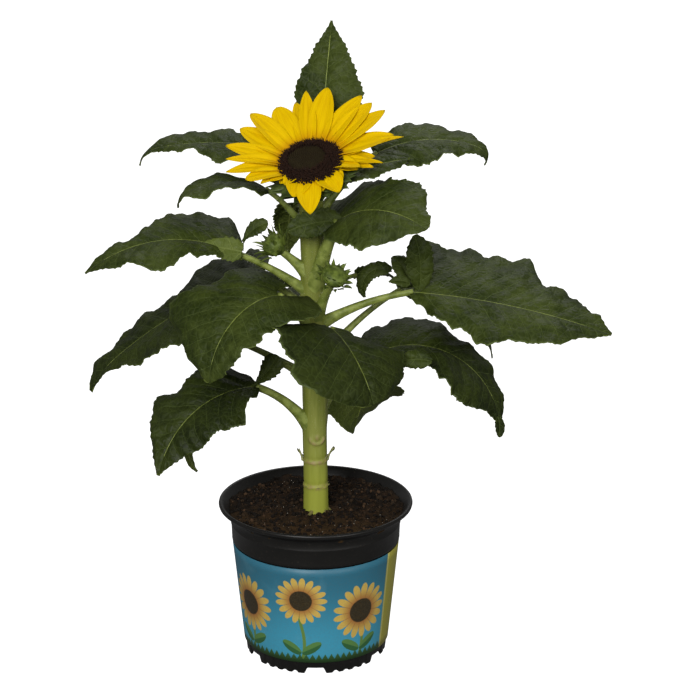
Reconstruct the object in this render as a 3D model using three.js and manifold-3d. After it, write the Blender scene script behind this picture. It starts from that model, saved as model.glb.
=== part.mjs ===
// A dwarf sunflower in a round plastic nursery pot with a printed paper sleeve.
// Millimetres, +Z up. The origin is the middle of the pot's flat underside and the
// bloom nods toward -Y. Headings are degrees about +Z from +X, climbs are degrees
// above level.

import * as THREE from 'three';
import { mergeVertices } from 'three/addons/utils/BufferGeometryUtils.js';
import Module from 'manifold-3d';

const CLEAR = 0.3;
const RAD = Math.PI / 180;

// Pot, sleeve and soil.
const POT_HEIGHT = 107;
const RIM_RADIUS = 66;
const LIP_HEIGHT = 10;
const COLLAR_RADIUS = 57.8;
const COLLAR_HEIGHT = 18;
const COLLAR_STEP = 1.2;
const BODY_RADIUS = 56;
const FOOT_RADIUS = 48;
const POT_WALL = 1.2;
const POT_FLOOR = 1.6;
const POT_SIDES = 42;
const NOTCH_COUNT = 6;
const NOTCH_WIDTH = 13;
const NOTCH_HEIGHT = 6;
const NOTCH_DEPTH = 5;
const SLEEVE_LOW = 9;
const SLEEVE_HIGH = 75;
const SLEEVE_WALL = 0.4;
const SOIL_LOW = POT_FLOOR + CLEAR;
const SOIL_EDGE_HEIGHT = 97.5;
const SOIL_TOP_HEIGHT = 101;
const SOIL_MOUND_RADIUS = 12;
const SOIL_EDGE_ROUND = 1.5;
const SOIL_SIDES = 24;

// Main stem.
const STEM_FOOT = SOIL_TOP_HEIGHT + CLEAR;
const STEM_TOP = 328;
const STEM_FOOT_RADIUS = 8.4;
const STEM_TOP_RADIUS = 7.1;
const STEM_LEAN = -2.5;
const BLOOM_TILT = 24;
const NECK_LENGTH = 36;
const STEM_SIDES = 14;
const STEM_RINGS = 13;

// Leaf blades and stalks.
const BLADE_THICK = 1.5;
const BLADE_STEPS = 9;
const BLADE_STRIPS = 4;
const BLADE_BASE_WIDTH = 3;
const BLADE_TIP_WIDTH = 1.2;
const BLADE_FOLD = 9;
const BLADE_CUP = 0.22;
const STALK_INSET = 3;
const STALK_BASE_SWELL = 1.9;
const STALK_SIDES = 6;
const STALK_STEPS = 4;

// Bloom, in its own frame: the rays spread from z = 0.
const RAY_COUNT = 26;
const RAY_TIP_RADIUS = 59;
const RAY_FRONT_SHORTER = 12;
const RAY_CLEFT_SHARE = 0.68;
const RAY_THICK = 1.6;
const RAY_MEAN_CLIMB = 5;
const RAY_CLIMB_SWING = 18;
const DISC_RADIUS = 21.5;
const DISC_DOME = 5;
const CALYX_DEPTH = 19;
const CALYX_RADIUS = 22;
const CALYX_ROUND = 2.2;
const BLOOM_SIDES = 20;

// Every leaf: the height of its node on the stem, the heading it leaves at, its stalk
// (length, radius at the end, climb at the stem and at the blade) and its blade (length,
// width, climb at base and tip, sideways turn, roll at base and tip in degrees). `broad`
// is small where the blade is widest near its base; `taper` is large for a long point.
const LEAVES = [
  { name: 'low_left', node: 163, heading: -162, stalk: [45, 2.7, 57, 23],
    blade: [95, 72, 3, -73, 25, 12, 20], broad: 0.4, taper: 1 },
  { name: 'low_left_hanging', node: 195, heading: 158, stalk: [62, 1.9, 26, 12],
    blade: [110, 34, -52, -98, 6, 0, 0], broad: 1, taper: 0.9 },
  { name: 'left_front', node: 231, heading: -132, stalk: [38, 2.2, 58, 34],
    blade: [87, 80, 12, -88, -14, 16, 10], broad: 0.4, taper: 0.8 },
  { name: 'left_back', node: 240, heading: 156, stalk: [38, 2.2, 46, 15],
    blade: [150, 76, -22, -46, 36, 22, 12], broad: 0.4, taper: 1 },
  { name: 'left_middle', node: 256, heading: -170, stalk: [48, 2.2, 40, 24],
    blade: [109, 68, 31, -38, 5, 20, 12], broad: 0.45, taper: 1 },
  { name: 'left_upper', node: 298, heading: -170, stalk: [36, 1.8, 60, 36],
    blade: [66, 52, 27, -42, -10, -2, -2], broad: 0.95, taper: 0.9 },
  { name: 'left_top', node: 316, heading: 147, stalk: [42, 2, 64, 31],
    blade: [98, 62, 4, -16, 35, 12, 5], broad: 0.5, taper: 1.1 },
  { name: 'top_upright', node: 320, heading: 79, stalk: [48, 1.8, 58, 40],
    blade: [74, 47, 68, 56, 1, 0, 0], broad: 0.42, taper: 1.12 },
  { name: 'right_top', node: 306, heading: 20, stalk: [55, 2, 55, 33],
    blade: [84, 60, 22, -26, -36, -18, -2], broad: 0.5, taper: 1 },
  { name: 'right_top_small', node: 318, heading: -2, stalk: [22, 1.5, 52, 40],
    blade: [44, 34, 22, 6, 6, -16, -10], broad: 0.45, taper: 0.9 },
  { name: 'front_right_upper', node: 268, heading: -42, stalk: [42, 3.5, 70, 60],
    blade: [74, 80, 34, -26, 8, -30, -26], broad: 0.34, taper: 0.6 },
  { name: 'back_left_upper', node: 311, heading: 112, stalk: [12, 1.6, 20, -10],
    blade: [64, 40, -15, -85, -20, 0, 0], broad: 0.5, taper: 1 },
  { name: 'right_middle', node: 233, heading: -8, stalk: [64, 2.3, 34, 10],
    blade: [133, 108, -2, -16, -8, -21, -16], broad: 0.24, taper: 0.85 },
  { name: 'right_back', node: 206, heading: 24, stalk: [70, 1.9, 50, 23],
    blade: [96, 40, 5, -84, -20, -20, -10], broad: 0.45, taper: 1 },
  { name: 'right_inner', node: 252, heading: 38, stalk: [30, 1.5, 26, 4],
    blade: [39, 14, 18, -60, -40, -20, -10], broad: 0.45, taper: 1.1 },
  { name: 'right_low', node: 183, heading: 11, stalk: [36, 2.2, 50, 28],
    blade: [120, 72, 29, -82, -34, -12, -14], broad: 0.4, taper: 0.8 },
  { name: 'front_low', node: 205, heading: -68, stalk: [42, 2.2, 66, 34],
    blade: [68, 88, 0, -70, 20, 18, 14], broad: 0.3, taper: 0.5 },
  { name: 'back_right_low', node: 168, heading: 44, stalk: [44, 1.9, 55, 8],
    blade: [60, 56, -45, -80, 100, 0, 0], broad: 0.42, taper: 0.9 },
  { name: 'back_low', node: 182, heading: 76, stalk: [36, 2, 46, 16],
    blade: [84, 58, 5, -80, -8, 0, 0], broad: 0.42, taper: 1 },
  { name: 'back_middle', node: 222, heading: 106, stalk: [38, 2, 39, 10],
    blade: [92, 62, 4, -49, -11, 0, 0], broad: 0.42, taper: 1 },
  { name: 'back_right_upper', node: 288, heading: 58, stalk: [32, 2, 22, 5],
    blade: [88, 58, 20, -55, -10, 0, 0], broad: 0.42, taper: 1 },
];

// Side buds: node height and heading, stalk (length, radius, climb at both ends), then
// the bud's radius and depth.
const BUDS = [
  { name: 'bud_left', node: 270, heading: -168, stalk: [18, 2.8, 44, 40], radius: 9, depth: 16 },
  { name: 'bud_right', node: 240, heading: -57, stalk: [30, 2.6, 60, 54], radius: 10, depth: 12 },
];

const wasm = await Module();
wasm.setup();

// A mesh as an exact solid, for cutting.
function solidOf(geometry) {
  const bare = geometry.clone();
  bare.deleteAttribute('normal');
  bare.deleteAttribute('uv');
  const merged = mergeVertices(bare, 1e-4);
  return new wasm.Manifold(new wasm.Mesh({
    numProp: 3,
    vertProperties: new Float32Array(merged.attributes.position.array),
    triVerts: new Uint32Array(merged.index.array),
  }));
}

function geometryOf(solid) {
  const mesh = solid.getMesh();
  const geometry = new THREE.BufferGeometry();
  geometry.setAttribute('position', new THREE.BufferAttribute(mesh.vertProperties, 3));
  geometry.setIndex(new THREE.BufferAttribute(mesh.triVerts, 1));
  geometry.computeVertexNormals();
  return geometry;
}

function cut(geometry, tools) {
  let solid = solidOf(geometry);
  for (const tool of tools) {
    solid = solid.subtract(solidOf(tool));
  }
  return geometryOf(solid);
}

// Moves every point of a geometry.
function reshape(geometry, move) {
  const places = geometry.attributes.position;
  const point = new THREE.Vector3();
  for (let i = 0; i < places.count; i += 1) {
    point.fromBufferAttribute(places, i);
    point.copy(move(point));
    places.setXYZ(i, point.x, point.y, point.z);
  }
  return geometry;
}

// A turned solid about +Z from a closed profile of [radius, height] pairs.
function turned(profile, sides) {
  const points = profile.map(([radius, height]) => new THREE.Vector2(radius, height));
  return new THREE.LatheGeometry(points, sides).rotateX(Math.PI / 2);
}

function unit(heading, climb) {
  const level = Math.cos(climb * RAD);
  return new THREE.Vector3(
    level * Math.cos(heading * RAD),
    level * Math.sin(heading * RAD),
    Math.sin(climb * RAD),
  );
}

// Stations along a limb whose heading and climb change evenly along its length.
function limb(start, heading, turn, climb, fall, length, steps) {
  const point = start.clone();
  const stations = [];
  for (let i = 0; i <= steps; i += 1) {
    const along = i / steps;
    const side = unit(heading + turn * along - 90, 0);
    const direction = unit(heading + turn * along, climb + (fall - climb) * along);
    const normal = side.clone().cross(direction);
    stations.push({ point: point.clone(), side, direction, normal });
    const half = (i + 0.5) / steps;
    point.addScaledVector(
      unit(heading + turn * half, climb + (fall - climb) * half),
      length / steps,
    );
  }
  return stations;
}

// Main stem: its centre line leans a little and nods over below the bloom.
function stemCentre(height) {
  const rise = (height - STEM_FOOT) / (STEM_TOP - STEM_FOOT);
  const bend = Math.max(0, height - (STEM_TOP - NECK_LENGTH));
  return new THREE.Vector3(
    STEM_LEAN * rise * rise,
    -Math.tan(BLOOM_TILT * RAD) * bend * bend / (2 * NECK_LENGTH),
    height,
  );
}

function stemRadius(height) {
  const rise = (height - STEM_FOOT) / (STEM_TOP - STEM_FOOT);
  return STEM_FOOT_RADIUS + (STEM_TOP_RADIUS - STEM_FOOT_RADIUS) * rise;
}

function stemGeometry(grown) {
  const length = STEM_TOP - STEM_FOOT;
  const rod = new THREE.CylinderGeometry(1, 1, length, STEM_SIDES, STEM_RINGS);
  const slope = 0.5;
  return reshape(rod, (local) => {
    const height = STEM_FOOT + length / 2 + local.y;
    const centre = stemCentre(height);
    const direction = stemCentre(height + slope).sub(stemCentre(height - slope)).normalize();
    const side = new THREE.Vector3(1, 0, 0);
    const front = side.clone().cross(direction);
    const radius = stemRadius(height) + grown;
    return centre.addScaledVector(side, local.x * radius).addScaledVector(front, local.z * radius);
  });
}

function nodePoint(height, heading, inset) {
  return stemCentre(height).addScaledVector(unit(heading, 0), stemRadius(height) - inset);
}

// Leaf and bud stalks: a clasping base that narrows quickly, cut to the stem's skin.
function stalkGeometry(stations, radius) {
  const steps = stations.length - 1;
  const rod = new THREE.CylinderGeometry(1, 1, 1, STALK_SIDES, steps);
  reshape(rod, (local) => {
    const index = Math.round((local.y + 0.5) * steps);
    const { point, side, normal } = stations[index];
    const swell = 1 + (STALK_BASE_SWELL - 1) * (1 - index / steps) ** 3;
    const place = point.clone();
    place.addScaledVector(side, local.x * radius * swell);
    return place.addScaledVector(normal, local.z * radius * swell);
  });
  return cut(rod, [stemGeometry(CLEAR)]);
}

// Leaf blade: a thin strip bent along its midrib, wide near the base, folded up a
// little along the rib and drooping at its edges.
function bladeGeometry(leaf, stations) {
  const [, width, , , , rollBase, rollTip] = leaf.blade;
  const strip = new THREE.BoxGeometry(1, 2, BLADE_THICK, BLADE_STEPS, BLADE_STRIPS, 1);
  const peak = leaf.broad / (leaf.broad + leaf.taper);
  const highest = peak ** leaf.broad * (1 - peak) ** leaf.taper;
  return reshape(strip, (local) => {
    const along = local.x + 0.5;
    const { point, side, normal } = stations[Math.round(along * BLADE_STEPS)];
    const roll = (rollBase + (rollTip - rollBase) * along) * RAD;
    const across = side.clone().multiplyScalar(Math.cos(roll)).addScaledVector(normal, Math.sin(roll));
    const up = normal.clone().multiplyScalar(Math.cos(roll)).addScaledVector(side, -Math.sin(roll));
    const least = (along < 0.5 ? BLADE_BASE_WIDTH : BLADE_TIP_WIDTH) / 2;
    const outline = along ** leaf.broad * (1 - along) ** leaf.taper / highest;
    const half = Math.max(least, outline * width / 2);
    const out = Math.abs(local.y);
    const lift = half * (out * Math.sin(BLADE_FOLD * RAD) - BLADE_CUP * out * out) + local.z;
    const place = point.clone().addScaledVector(across, -local.y * half * Math.cos(BLADE_FOLD * RAD));
    return place.addScaledVector(up, lift);
  });
}

function material(colour, roughness) {
  return new THREE.MeshStandardMaterial({ color: colour, roughness, metalness: 0 });
}

const blackPlastic = material('#232120', 0.45);
const printedPaper = material('#346f80', 0.5);
const peat = material('#1c160e', 0.95);
const stemSkin = material('#949857', 0.7);
const leafSkin = material('#363d22', 0.6);
const budSkin = material('#56643a', 0.7);
const petalSkin = material('#e4b702', 0.55);
const discFlorets = material('#2b261c', 0.9);

const plant = new THREE.Group();

function add(name, geometry, finish, parent = plant) {
  const mesh = new THREE.Mesh(geometry, finish);
  mesh.name = name;
  parent.add(mesh);
  return mesh;
}

// Pot: a tapered cup with a collar and a flared lip; notches in its foot let it drain.
const collarHigh = POT_HEIGHT - LIP_HEIGHT;
const collarLow = collarHigh - COLLAR_HEIGHT;
const lipCurl = 1;
function wallRadius(height) {
  return FOOT_RADIUS + (BODY_RADIUS - FOOT_RADIUS) * height / collarLow;
}
const potProfile = [
  [0, 0],
  [FOOT_RADIUS - POT_WALL, 0],
  [FOOT_RADIUS, POT_WALL],
  [BODY_RADIUS, collarLow],
  [BODY_RADIUS + COLLAR_STEP, collarLow + COLLAR_STEP],
  [COLLAR_RADIUS, collarHigh],
  [RIM_RADIUS, POT_HEIGHT - 3 * lipCurl],
  [RIM_RADIUS, POT_HEIGHT - lipCurl],
  [RIM_RADIUS - lipCurl, POT_HEIGHT],
  [RIM_RADIUS - 2 * lipCurl, POT_HEIGHT - lipCurl],
  [COLLAR_RADIUS - POT_WALL, collarHigh],
  [BODY_RADIUS - POT_WALL, collarLow],
  [wallRadius(POT_FLOOR) - POT_WALL, POT_FLOOR],
  [0, POT_FLOOR],
];
const notches = [];
for (let i = 0; i < NOTCH_COUNT; i += 1) {
  const notch = new THREE.BoxGeometry(NOTCH_DEPTH * 3, NOTCH_WIDTH, NOTCH_HEIGHT * 2 - 1);
  notch.translate(FOOT_RADIUS - NOTCH_DEPTH / 2, 0, 0);
  notch.rotateZ((i + 0.5) * 2 * Math.PI / NOTCH_COUNT);
  notches.push(notch);
}
add('pot', cut(turned(potProfile, POT_SIDES), notches), blackPlastic);

// Sleeve: a paper band round the pot's wall.
const sleeveLowRadius = wallRadius(SLEEVE_LOW) + CLEAR;
const sleeveHighRadius = wallRadius(SLEEVE_HIGH) + CLEAR;
const sleeveProfile = [
  [sleeveLowRadius, SLEEVE_LOW],
  [sleeveLowRadius + SLEEVE_WALL, SLEEVE_LOW],
  [sleeveHighRadius + SLEEVE_WALL, SLEEVE_HIGH],
  [sleeveHighRadius, SLEEVE_HIGH],
  [sleeveLowRadius, SLEEVE_LOW],
];
add('label_sleeve', turned(sleeveProfile, POT_SIDES), printedPaper);

// Soil: a plug of peat that mounds up to the stem.
const soilInset = POT_WALL + CLEAR;
const soilProfile = [
  [0, SOIL_LOW],
  [wallRadius(SOIL_LOW) - soilInset, SOIL_LOW],
  [BODY_RADIUS - soilInset, collarLow],
  [COLLAR_RADIUS - soilInset - SOIL_EDGE_ROUND, SOIL_EDGE_HEIGHT],
  [SOIL_MOUND_RADIUS, SOIL_TOP_HEIGHT],
  [0, SOIL_TOP_HEIGHT],
];
add('soil', turned(soilProfile, SOIL_SIDES), peat);

add('stem', stemGeometry(0), stemSkin);

for (const leaf of LEAVES) {
  const [length, radius, climb, fall] = leaf.stalk;
  const foot = nodePoint(leaf.node, leaf.heading, STALK_INSET);
  const stalk = limb(foot, leaf.heading, 0, climb, fall, length + STALK_INSET, STALK_STEPS);
  add(`${leaf.name}_stalk`, stalkGeometry(stalk, radius), stemSkin);
  const [reach, , rise, droop, turn] = leaf.blade;
  const end = stalk[STALK_STEPS];
  const kink = Math.abs(rise - fall) * RAD;
  const gap = CLEAR + BLADE_THICK / 2 * Math.sin(kink);
  const base = end.point.clone().addScaledVector(end.direction, gap);
  const rib = limb(base, leaf.heading, turn, rise, droop, reach, BLADE_STEPS);
  add(`${leaf.name}_blade`, bladeGeometry(leaf, rib), leafSkin);
}

for (const bud of BUDS) {
  const [length, radius, climb, fall] = bud.stalk;
  const foot = nodePoint(bud.node, bud.heading, STALK_INSET);
  const stalk = limb(foot, bud.heading, 0, climb, fall, length + STALK_INSET, STALK_STEPS);
  add(`${bud.name}_stalk`, stalkGeometry(stalk, radius), stemSkin);
  const end = stalk[STALK_STEPS];
  const head = turned([
    [0, 0],
    [radius, 0],
    [bud.radius * 0.85, bud.depth * 0.22],
    [bud.radius, bud.depth * 0.5],
    [bud.radius * 0.8, bud.depth * 0.8],
    [bud.radius * 0.35, bud.depth],
    [0, bud.depth],
  ], STEM_SIDES);
  const mesh = add(bud.name, head, budSkin);
  mesh.quaternion.setFromUnitVectors(new THREE.Vector3(0, 0, 1), end.direction);
  mesh.position.copy(end.point).addScaledVector(end.direction, CLEAR);
}

// Bloom: a green cup, a ring of rays and a domed disc, set square on the nodding neck.
const bloom = new THREE.Group();
bloom.rotation.x = BLOOM_TILT * RAD;
const neck = unit(-90, 90 - BLOOM_TILT);
bloom.position.copy(stemCentre(STEM_TOP)).addScaledVector(neck, CALYX_DEPTH + 3 * CLEAR);
plant.add(bloom);

const calyxTop = -CLEAR - RAY_THICK / 2;
add('calyx', turned([
  [0, -CALYX_DEPTH],
  [STEM_TOP_RADIUS, -CALYX_DEPTH],
  [CALYX_RADIUS * 0.6, -CALYX_DEPTH * 0.75],
  [CALYX_RADIUS * 0.93, -CALYX_DEPTH * 0.4],
  [CALYX_RADIUS, calyxTop - CALYX_ROUND],
  [CALYX_RADIUS - CALYX_ROUND, calyxTop],
  [0, calyxTop],
], BLOOM_SIDES), leafSkin, bloom);

const raySides = RAY_COUNT * 3;
const rayRoot = DISC_RADIUS * 0.75;
const rayRing = turned([
  [rayRoot, -RAY_THICK / 2],
  [CALYX_RADIUS, -RAY_THICK / 2],
  [RAY_TIP_RADIUS, -RAY_THICK / 4],
  [RAY_TIP_RADIUS, RAY_THICK / 4],
  [CALYX_RADIUS, RAY_THICK / 2],
  [rayRoot, RAY_THICK / 2],
  [rayRoot, -RAY_THICK / 2],
], raySides);
reshape(rayRing, (local) => {
  const angle = Math.atan2(local.y, local.x);
  const radius = Math.hypot(local.x, local.y);
  const out = (radius - rayRoot) / (RAY_TIP_RADIUS - rayRoot);
  const ray = Math.abs(Math.cos(angle * RAY_COUNT / 2));
  const reach = RAY_TIP_RADIUS - RAY_FRONT_SHORTER * Math.max(0, -Math.sin(angle));
  const tip = reach * (RAY_CLEFT_SHARE + (1 - RAY_CLEFT_SHARE) * ray);
  const spread = rayRoot + (tip - rayRoot) * out;
  const climb = (RAY_MEAN_CLIMB + RAY_CLIMB_SWING * Math.sin(angle)) * RAD;
  const lift = Math.tan(climb) * Math.max(0, spread - CALYX_RADIUS);
  return new THREE.Vector3(
    spread * Math.cos(angle),
    spread * Math.sin(angle),
    local.z + lift,
  );
});
add('rays', rayRing, petalSkin, bloom);

const discLow = RAY_THICK / 2 + CLEAR;
add('disc', turned([
  [0, discLow],
  [DISC_RADIUS * 0.93, discLow],
  [DISC_RADIUS, discLow + DISC_DOME * 0.3],
  [DISC_RADIUS * 0.85, discLow + DISC_DOME * 0.9],
  [DISC_RADIUS * 0.5, discLow + DISC_DOME],
  [0, discLow + DISC_DOME * 0.85],
], BLOOM_SIDES), discFlorets, bloom);

export default plant;
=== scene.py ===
import math
import random

import bmesh
import bpy
import numpy as np
from mathutils import Matrix, Vector, noise


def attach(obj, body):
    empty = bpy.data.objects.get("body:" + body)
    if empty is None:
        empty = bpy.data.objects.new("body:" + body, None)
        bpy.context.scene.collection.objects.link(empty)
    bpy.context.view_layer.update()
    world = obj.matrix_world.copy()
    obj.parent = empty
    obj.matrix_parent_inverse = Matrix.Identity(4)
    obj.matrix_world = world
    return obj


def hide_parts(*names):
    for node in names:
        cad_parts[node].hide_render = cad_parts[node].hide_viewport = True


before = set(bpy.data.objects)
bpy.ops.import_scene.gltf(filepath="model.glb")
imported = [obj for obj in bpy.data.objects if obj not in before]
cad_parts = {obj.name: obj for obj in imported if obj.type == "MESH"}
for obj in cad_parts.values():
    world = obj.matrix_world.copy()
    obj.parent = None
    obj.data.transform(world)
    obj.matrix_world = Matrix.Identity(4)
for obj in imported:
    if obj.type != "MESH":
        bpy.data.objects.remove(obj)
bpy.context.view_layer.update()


# ------------------------------------------------------------------------- Camera
# A long lens set square to the front of the plant, a little above it, and aimed at
# the middle of its height.
AIM = Vector((0.022, 0, 0.216))
CAMERA_DISTANCE = 1.6
CAMERA_RISE = math.radians(18.1)
CAMERA_LENS = 124.1

camera_data = bpy.data.cameras.new("camera")
camera_data.lens = CAMERA_LENS
camera = bpy.data.objects.new("camera", camera_data)
bpy.context.collection.objects.link(camera)
toward_lens = Vector((0, -math.cos(CAMERA_RISE), math.sin(CAMERA_RISE)))
camera.location = AIM + CAMERA_DISTANCE * toward_lens
camera.rotation_euler = (math.pi / 2 - CAMERA_RISE, 0, 0)
bpy.context.scene.camera = camera


# ---------------------------------------------------------------------------- Pot
# A thin formed pot of black plastic. Its wall tapers to a foot ring with drain
# notches cut through it, and its collar carries a lip that flares out and rolls over.
MM = 0.001
UP = Vector((0, 0, 1))
POT_STEPS = 480
POT_FOOT_RADIUS = 48 * MM
FOOT_RING_INNER = 46 * MM
FOOT_RING_TOP = 1 * MM
NOTCH_PITCH = math.radians(60)
NOTCH_HALF = 6.5 * MM
NOTCH_SLOPE = 2.6 * MM
NOTCH_HEIGHT = 4.2 * MM
NICK_PLACES = (14 * MM, 21.5 * MM)
NICK_HALF = 2.2 * MM
NICK_HEIGHT = 1.7 * MM
NICK_FADE = 0.3

# (radius, height) in millimetres, up the outside, over the lip and down the inside.
POT_PROFILE = [
    (0, 0), (27, 0), (29, 0.6), (30.5, 5), (44.6, 5), (46.4, 0.4), (46.8, 0), (47.6, 0),
    (48, 0.6), (56.1, 80.4), (56.9, 81), (57.25, 82), (57.25, 83.2), (57.6, 92.6),
    (57.95, 93.2), (57.95, 93.9), (57.7, 94.4), (57.9, 98.2), (58.4, 99.6), (59.6, 101),
    (61.3, 102.4), (63, 103.5), (64.7, 104.4), (65.7, 105.3), (66, 106.3), (65.8, 107.1),
    (65.2, 107.7), (64.4, 107.8), (63.6, 107.4), (62.3, 106), (60.6, 103.8), (58.8, 101.4),
    (57.3, 99), (56.6, 97), (56.2, 93), (54.9, 80.4), (47, 6.4), (46, 6), (0, 6),
]


def in_millimetres(profile):
    """Profile points given in millimetres, made metres."""
    return [(radius * MM, height * MM) for radius, height in profile]


def spun(profile, steps):
    """A form turned about +Z from (radius, height) points, its seam and poles closed."""
    form = bmesh.new()
    points = [form.verts.new((radius, 0, height)) for radius, height in profile]
    for low, high in zip(points, points[1:]):
        form.edges.new((low, high))
    bmesh.ops.spin(form, geom=form.verts[:] + form.edges[:], cent=(0, 0, 0), axis=UP,
                   angle=2 * math.pi, steps=steps, use_merge=True)
    bmesh.ops.remove_doubles(form, verts=form.verts, dist=0.001 * MM)
    bmesh.ops.recalc_face_normals(form, faces=form.faces)
    return form


def set_piece(name, form, slot, finishes, *nodes):
    """Makes a form one of the plant's pieces, in place of the named CAD nodes."""
    mesh = bpy.data.meshes.new(name)
    if isinstance(form, bmesh.types.BMesh):
        form.to_mesh(mesh)
        form.free()
    else:
        mesh.from_pydata(form[0], [], form[1])
    for finish in finishes:
        mesh.materials.append(finish)
    mesh.polygons.foreach_set("use_smooth", [True] * len(mesh.polygons))
    mesh.update()
    piece = bpy.data.objects.new(name, mesh)
    bpy.context.collection.objects.link(piece)
    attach(piece, "root")
    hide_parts(*nodes)
    return piece


def colour(red, green, blue):
    """A shader colour from the usual 0 to 255 values."""
    shares = [c / 255 for c in (red, green, blue)]
    return tuple(c / 12.92 if c <= 0.04045 else ((c + 0.055) / 1.055) ** 2.4 for c in shares) + (1,)


def new_finish(name, **constants):
    """A material, its node tree and its shader, with the shader's plain values set."""
    finish = bpy.data.materials.new(name)
    finish.use_nodes = True
    shader = finish.node_tree.nodes["Principled BSDF"]
    for socket, value in constants.items():
        shader.inputs[socket.replace("_", " ")].default_value = value
    return finish, finish.node_tree, shader


def add_node(tree, kind, inputs, **settings):
    """A node whose inputs are plain values or other nodes' sockets."""
    made = tree.nodes.new(kind)
    for setting, value in settings.items():
        setattr(made, setting, value)
    for socket, value in inputs.items():
        if isinstance(value, bpy.types.NodeSocket):
            tree.links.new(value, made.inputs[socket])
        else:
            made.inputs[socket].default_value = value
    return made


def place_of(tree, stretch=(1, 1, 1)):
    """Object coordinates, stretched along each axis."""
    found = tree.nodes.new("ShaderNodeTexCoord").outputs["Object"]
    return add_node(tree, "ShaderNodeMapping", {"Vector": found, "Scale": stretch}).outputs[0]


def grain(tree, place, scale, detail=2.0):
    """A cloudy value from 0 to 1 with features about 1 / scale across."""
    inputs = {"Vector": place, "Scale": scale, "Detail": detail}
    return add_node(tree, "ShaderNodeTexNoise", inputs).outputs[0]


def sums(tree, operation, first, second=0.0, third=0.0):
    """One step of arithmetic on up to three values."""
    inputs = {0: first, 1: second, 2: third}
    return add_node(tree, "ShaderNodeMath", inputs, operation=operation).outputs[0]


def span(tree, value, low, high, to_low=0.0, to_high=1.0):
    """A value eased from one range to another."""
    inputs = {"Value": value, "From Min": low, "From Max": high, "To Min": to_low, "To Max": to_high}
    made = add_node(tree, "ShaderNodeMapRange", inputs, interpolation_type="SMOOTHSTEP")
    return made.outputs[0]


def blend_colours(tree, share, first, second):
    """The first colour where share is 0, the second where it is 1."""
    inputs = {0: share, 6: first, 7: second}
    return add_node(tree, "ShaderNodeMix", inputs, data_type="RGBA").outputs[2]


def paint(tree, shader, share, first, second):
    """Colours a skin with the blend of two colours."""
    tree.links.new(blend_colours(tree, share, first, second), shader.inputs["Base Color"])


def raise_surface(tree, shader, height, depth, strength=1.0):
    """Feeds a height to the shader's normal, depth metres from low to high."""
    inputs = {"Height": height, "Distance": depth, "Strength": strength}
    bump = add_node(tree, "ShaderNodeBump", inputs)
    tree.links.new(bump.outputs[0], shader.inputs["Normal"])


def foot_lift(angle):
    """How far the foot ring is cut away at an angle: wide notches, small nicks between."""
    share = (angle / NOTCH_PITCH) % 1 - 0.5
    away = abs(share) * NOTCH_PITCH * POT_FOOT_RADIUS
    edge = min(1, max(0, (NOTCH_HALF - away) / NOTCH_SLOPE + 0.5))
    lift = NOTCH_HEIGHT * edge * edge * (3 - 2 * edge)
    for order, nick in enumerate(NICK_PLACES):
        near = max(0, 1 - abs(away - nick) / NICK_HALF)
        lift = max(lift, NICK_HEIGHT * (1 - NICK_FADE * order) * near * (2 - near))
    return lift


pot_form = spun(in_millimetres(POT_PROFILE), POT_STEPS)
for vert in pot_form.verts:
    if math.hypot(vert.co.x, vert.co.y) > FOOT_RING_INNER and vert.co.z < FOOT_RING_TOP:
        vert.co.z += foot_lift(math.atan2(vert.co.y, vert.co.x))

pot_plastic, tree, shader = new_finish("pot_plastic", Specular_IOR_Level=0.3)
place = place_of(tree)
cloud = grain(tree, place, 45, 4)
dust = span(tree, grain(tree, place, 700, 3), 0.6, 0.78)
black = blend_colours(tree, cloud, colour(18, 17, 16), colour(26, 25, 23))
paint(tree, shader, sums(tree, "MULTIPLY", dust, 0.3), black, colour(78, 70, 60))
tree.links.new(span(tree, cloud, 0.2, 0.8, 0.3, 0.42), shader.inputs["Roughness"])
raise_surface(tree, shader, grain(tree, place, 420, 3), 0.08 * MM, 0.5)

set_piece("nursery_pot", pot_form, "pot_plastic", [pot_plastic], "pot")


# --------------------------------------------------------------------------- Soil
# Moist peat that fills the pot to just under its lip: a lumpy surface, heaped a little
# at the stem and painted a lighter brown toward the front as painted light, the back left
# darker as painted shade, with loose crumbs, fibres and white grit on it.
SOIL_RINGS = 60
SOIL_STEPS = 200
SOIL_EDGE_RADIUS = 59.8 * MM
SOIL_EDGE_HEIGHT = 102 * MM
SOIL_LEVEL = 99.8 * MM
SOIL_HEAP = 1.6 * MM
SOIL_HEAP_SHARE = 0.3
PLUG_PROFILE = [(0, 7), (46, 7), (54.4, 82), (56, 96)]

# How closely set and how high the surface's lumps, clods and grains are.
LUMPS = (70, 2.4 * MM)
CLODS = (240, 1.9 * MM)
GRAINS = (700, 0.7 * MM)

# Crumbs by kind: colour, and weight in the mix. Then, for each sort of loose thing: how
# many there are, and how near and far they lie from the middle and crowd toward it.
CRUMB_KINDS = {"dark": ((22, 15, 9), 6), "brown": ((52, 38, 23), 3), "russet": ((78, 57, 38), 1)}
CRUMB_COUNT = 3600
CRUMB_SPREAD = (8 * MM, 58 * MM, 0.62)
GRIT_COUNT = 60
GRIT_SPREAD = (12 * MM, 54 * MM, 0.7)
FIBRE_COUNT = 300
FIBRE_SPREAD = (10 * MM, 54 * MM, 0.6)


def bell(value, width):
    """1 where value is 0, falling smoothly to nothing a few widths away."""
    return math.exp(-(value / width) ** 2)


def soil_height(x, y):
    """The peat's surface: heaped at the stem and the wall, in lumps with clods on them."""
    out = math.hypot(x, y) / SOIL_EDGE_RADIUS
    level = SOIL_LEVEL + (SOIL_EDGE_HEIGHT - SOIL_LEVEL) * out ** 4
    level += SOIL_HEAP * bell(out, SOIL_HEAP_SHARE)
    level += LUMPS[1] * noise.noise(Vector((x, y, 0.31)) * LUMPS[0])
    level += CLODS[1] * noise.noise(Vector((x, y, 0.77)) * CLODS[0])
    return level + GRAINS[1] * abs(noise.noise(Vector((x, y, 0.5)) * GRAINS[0]))


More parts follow.
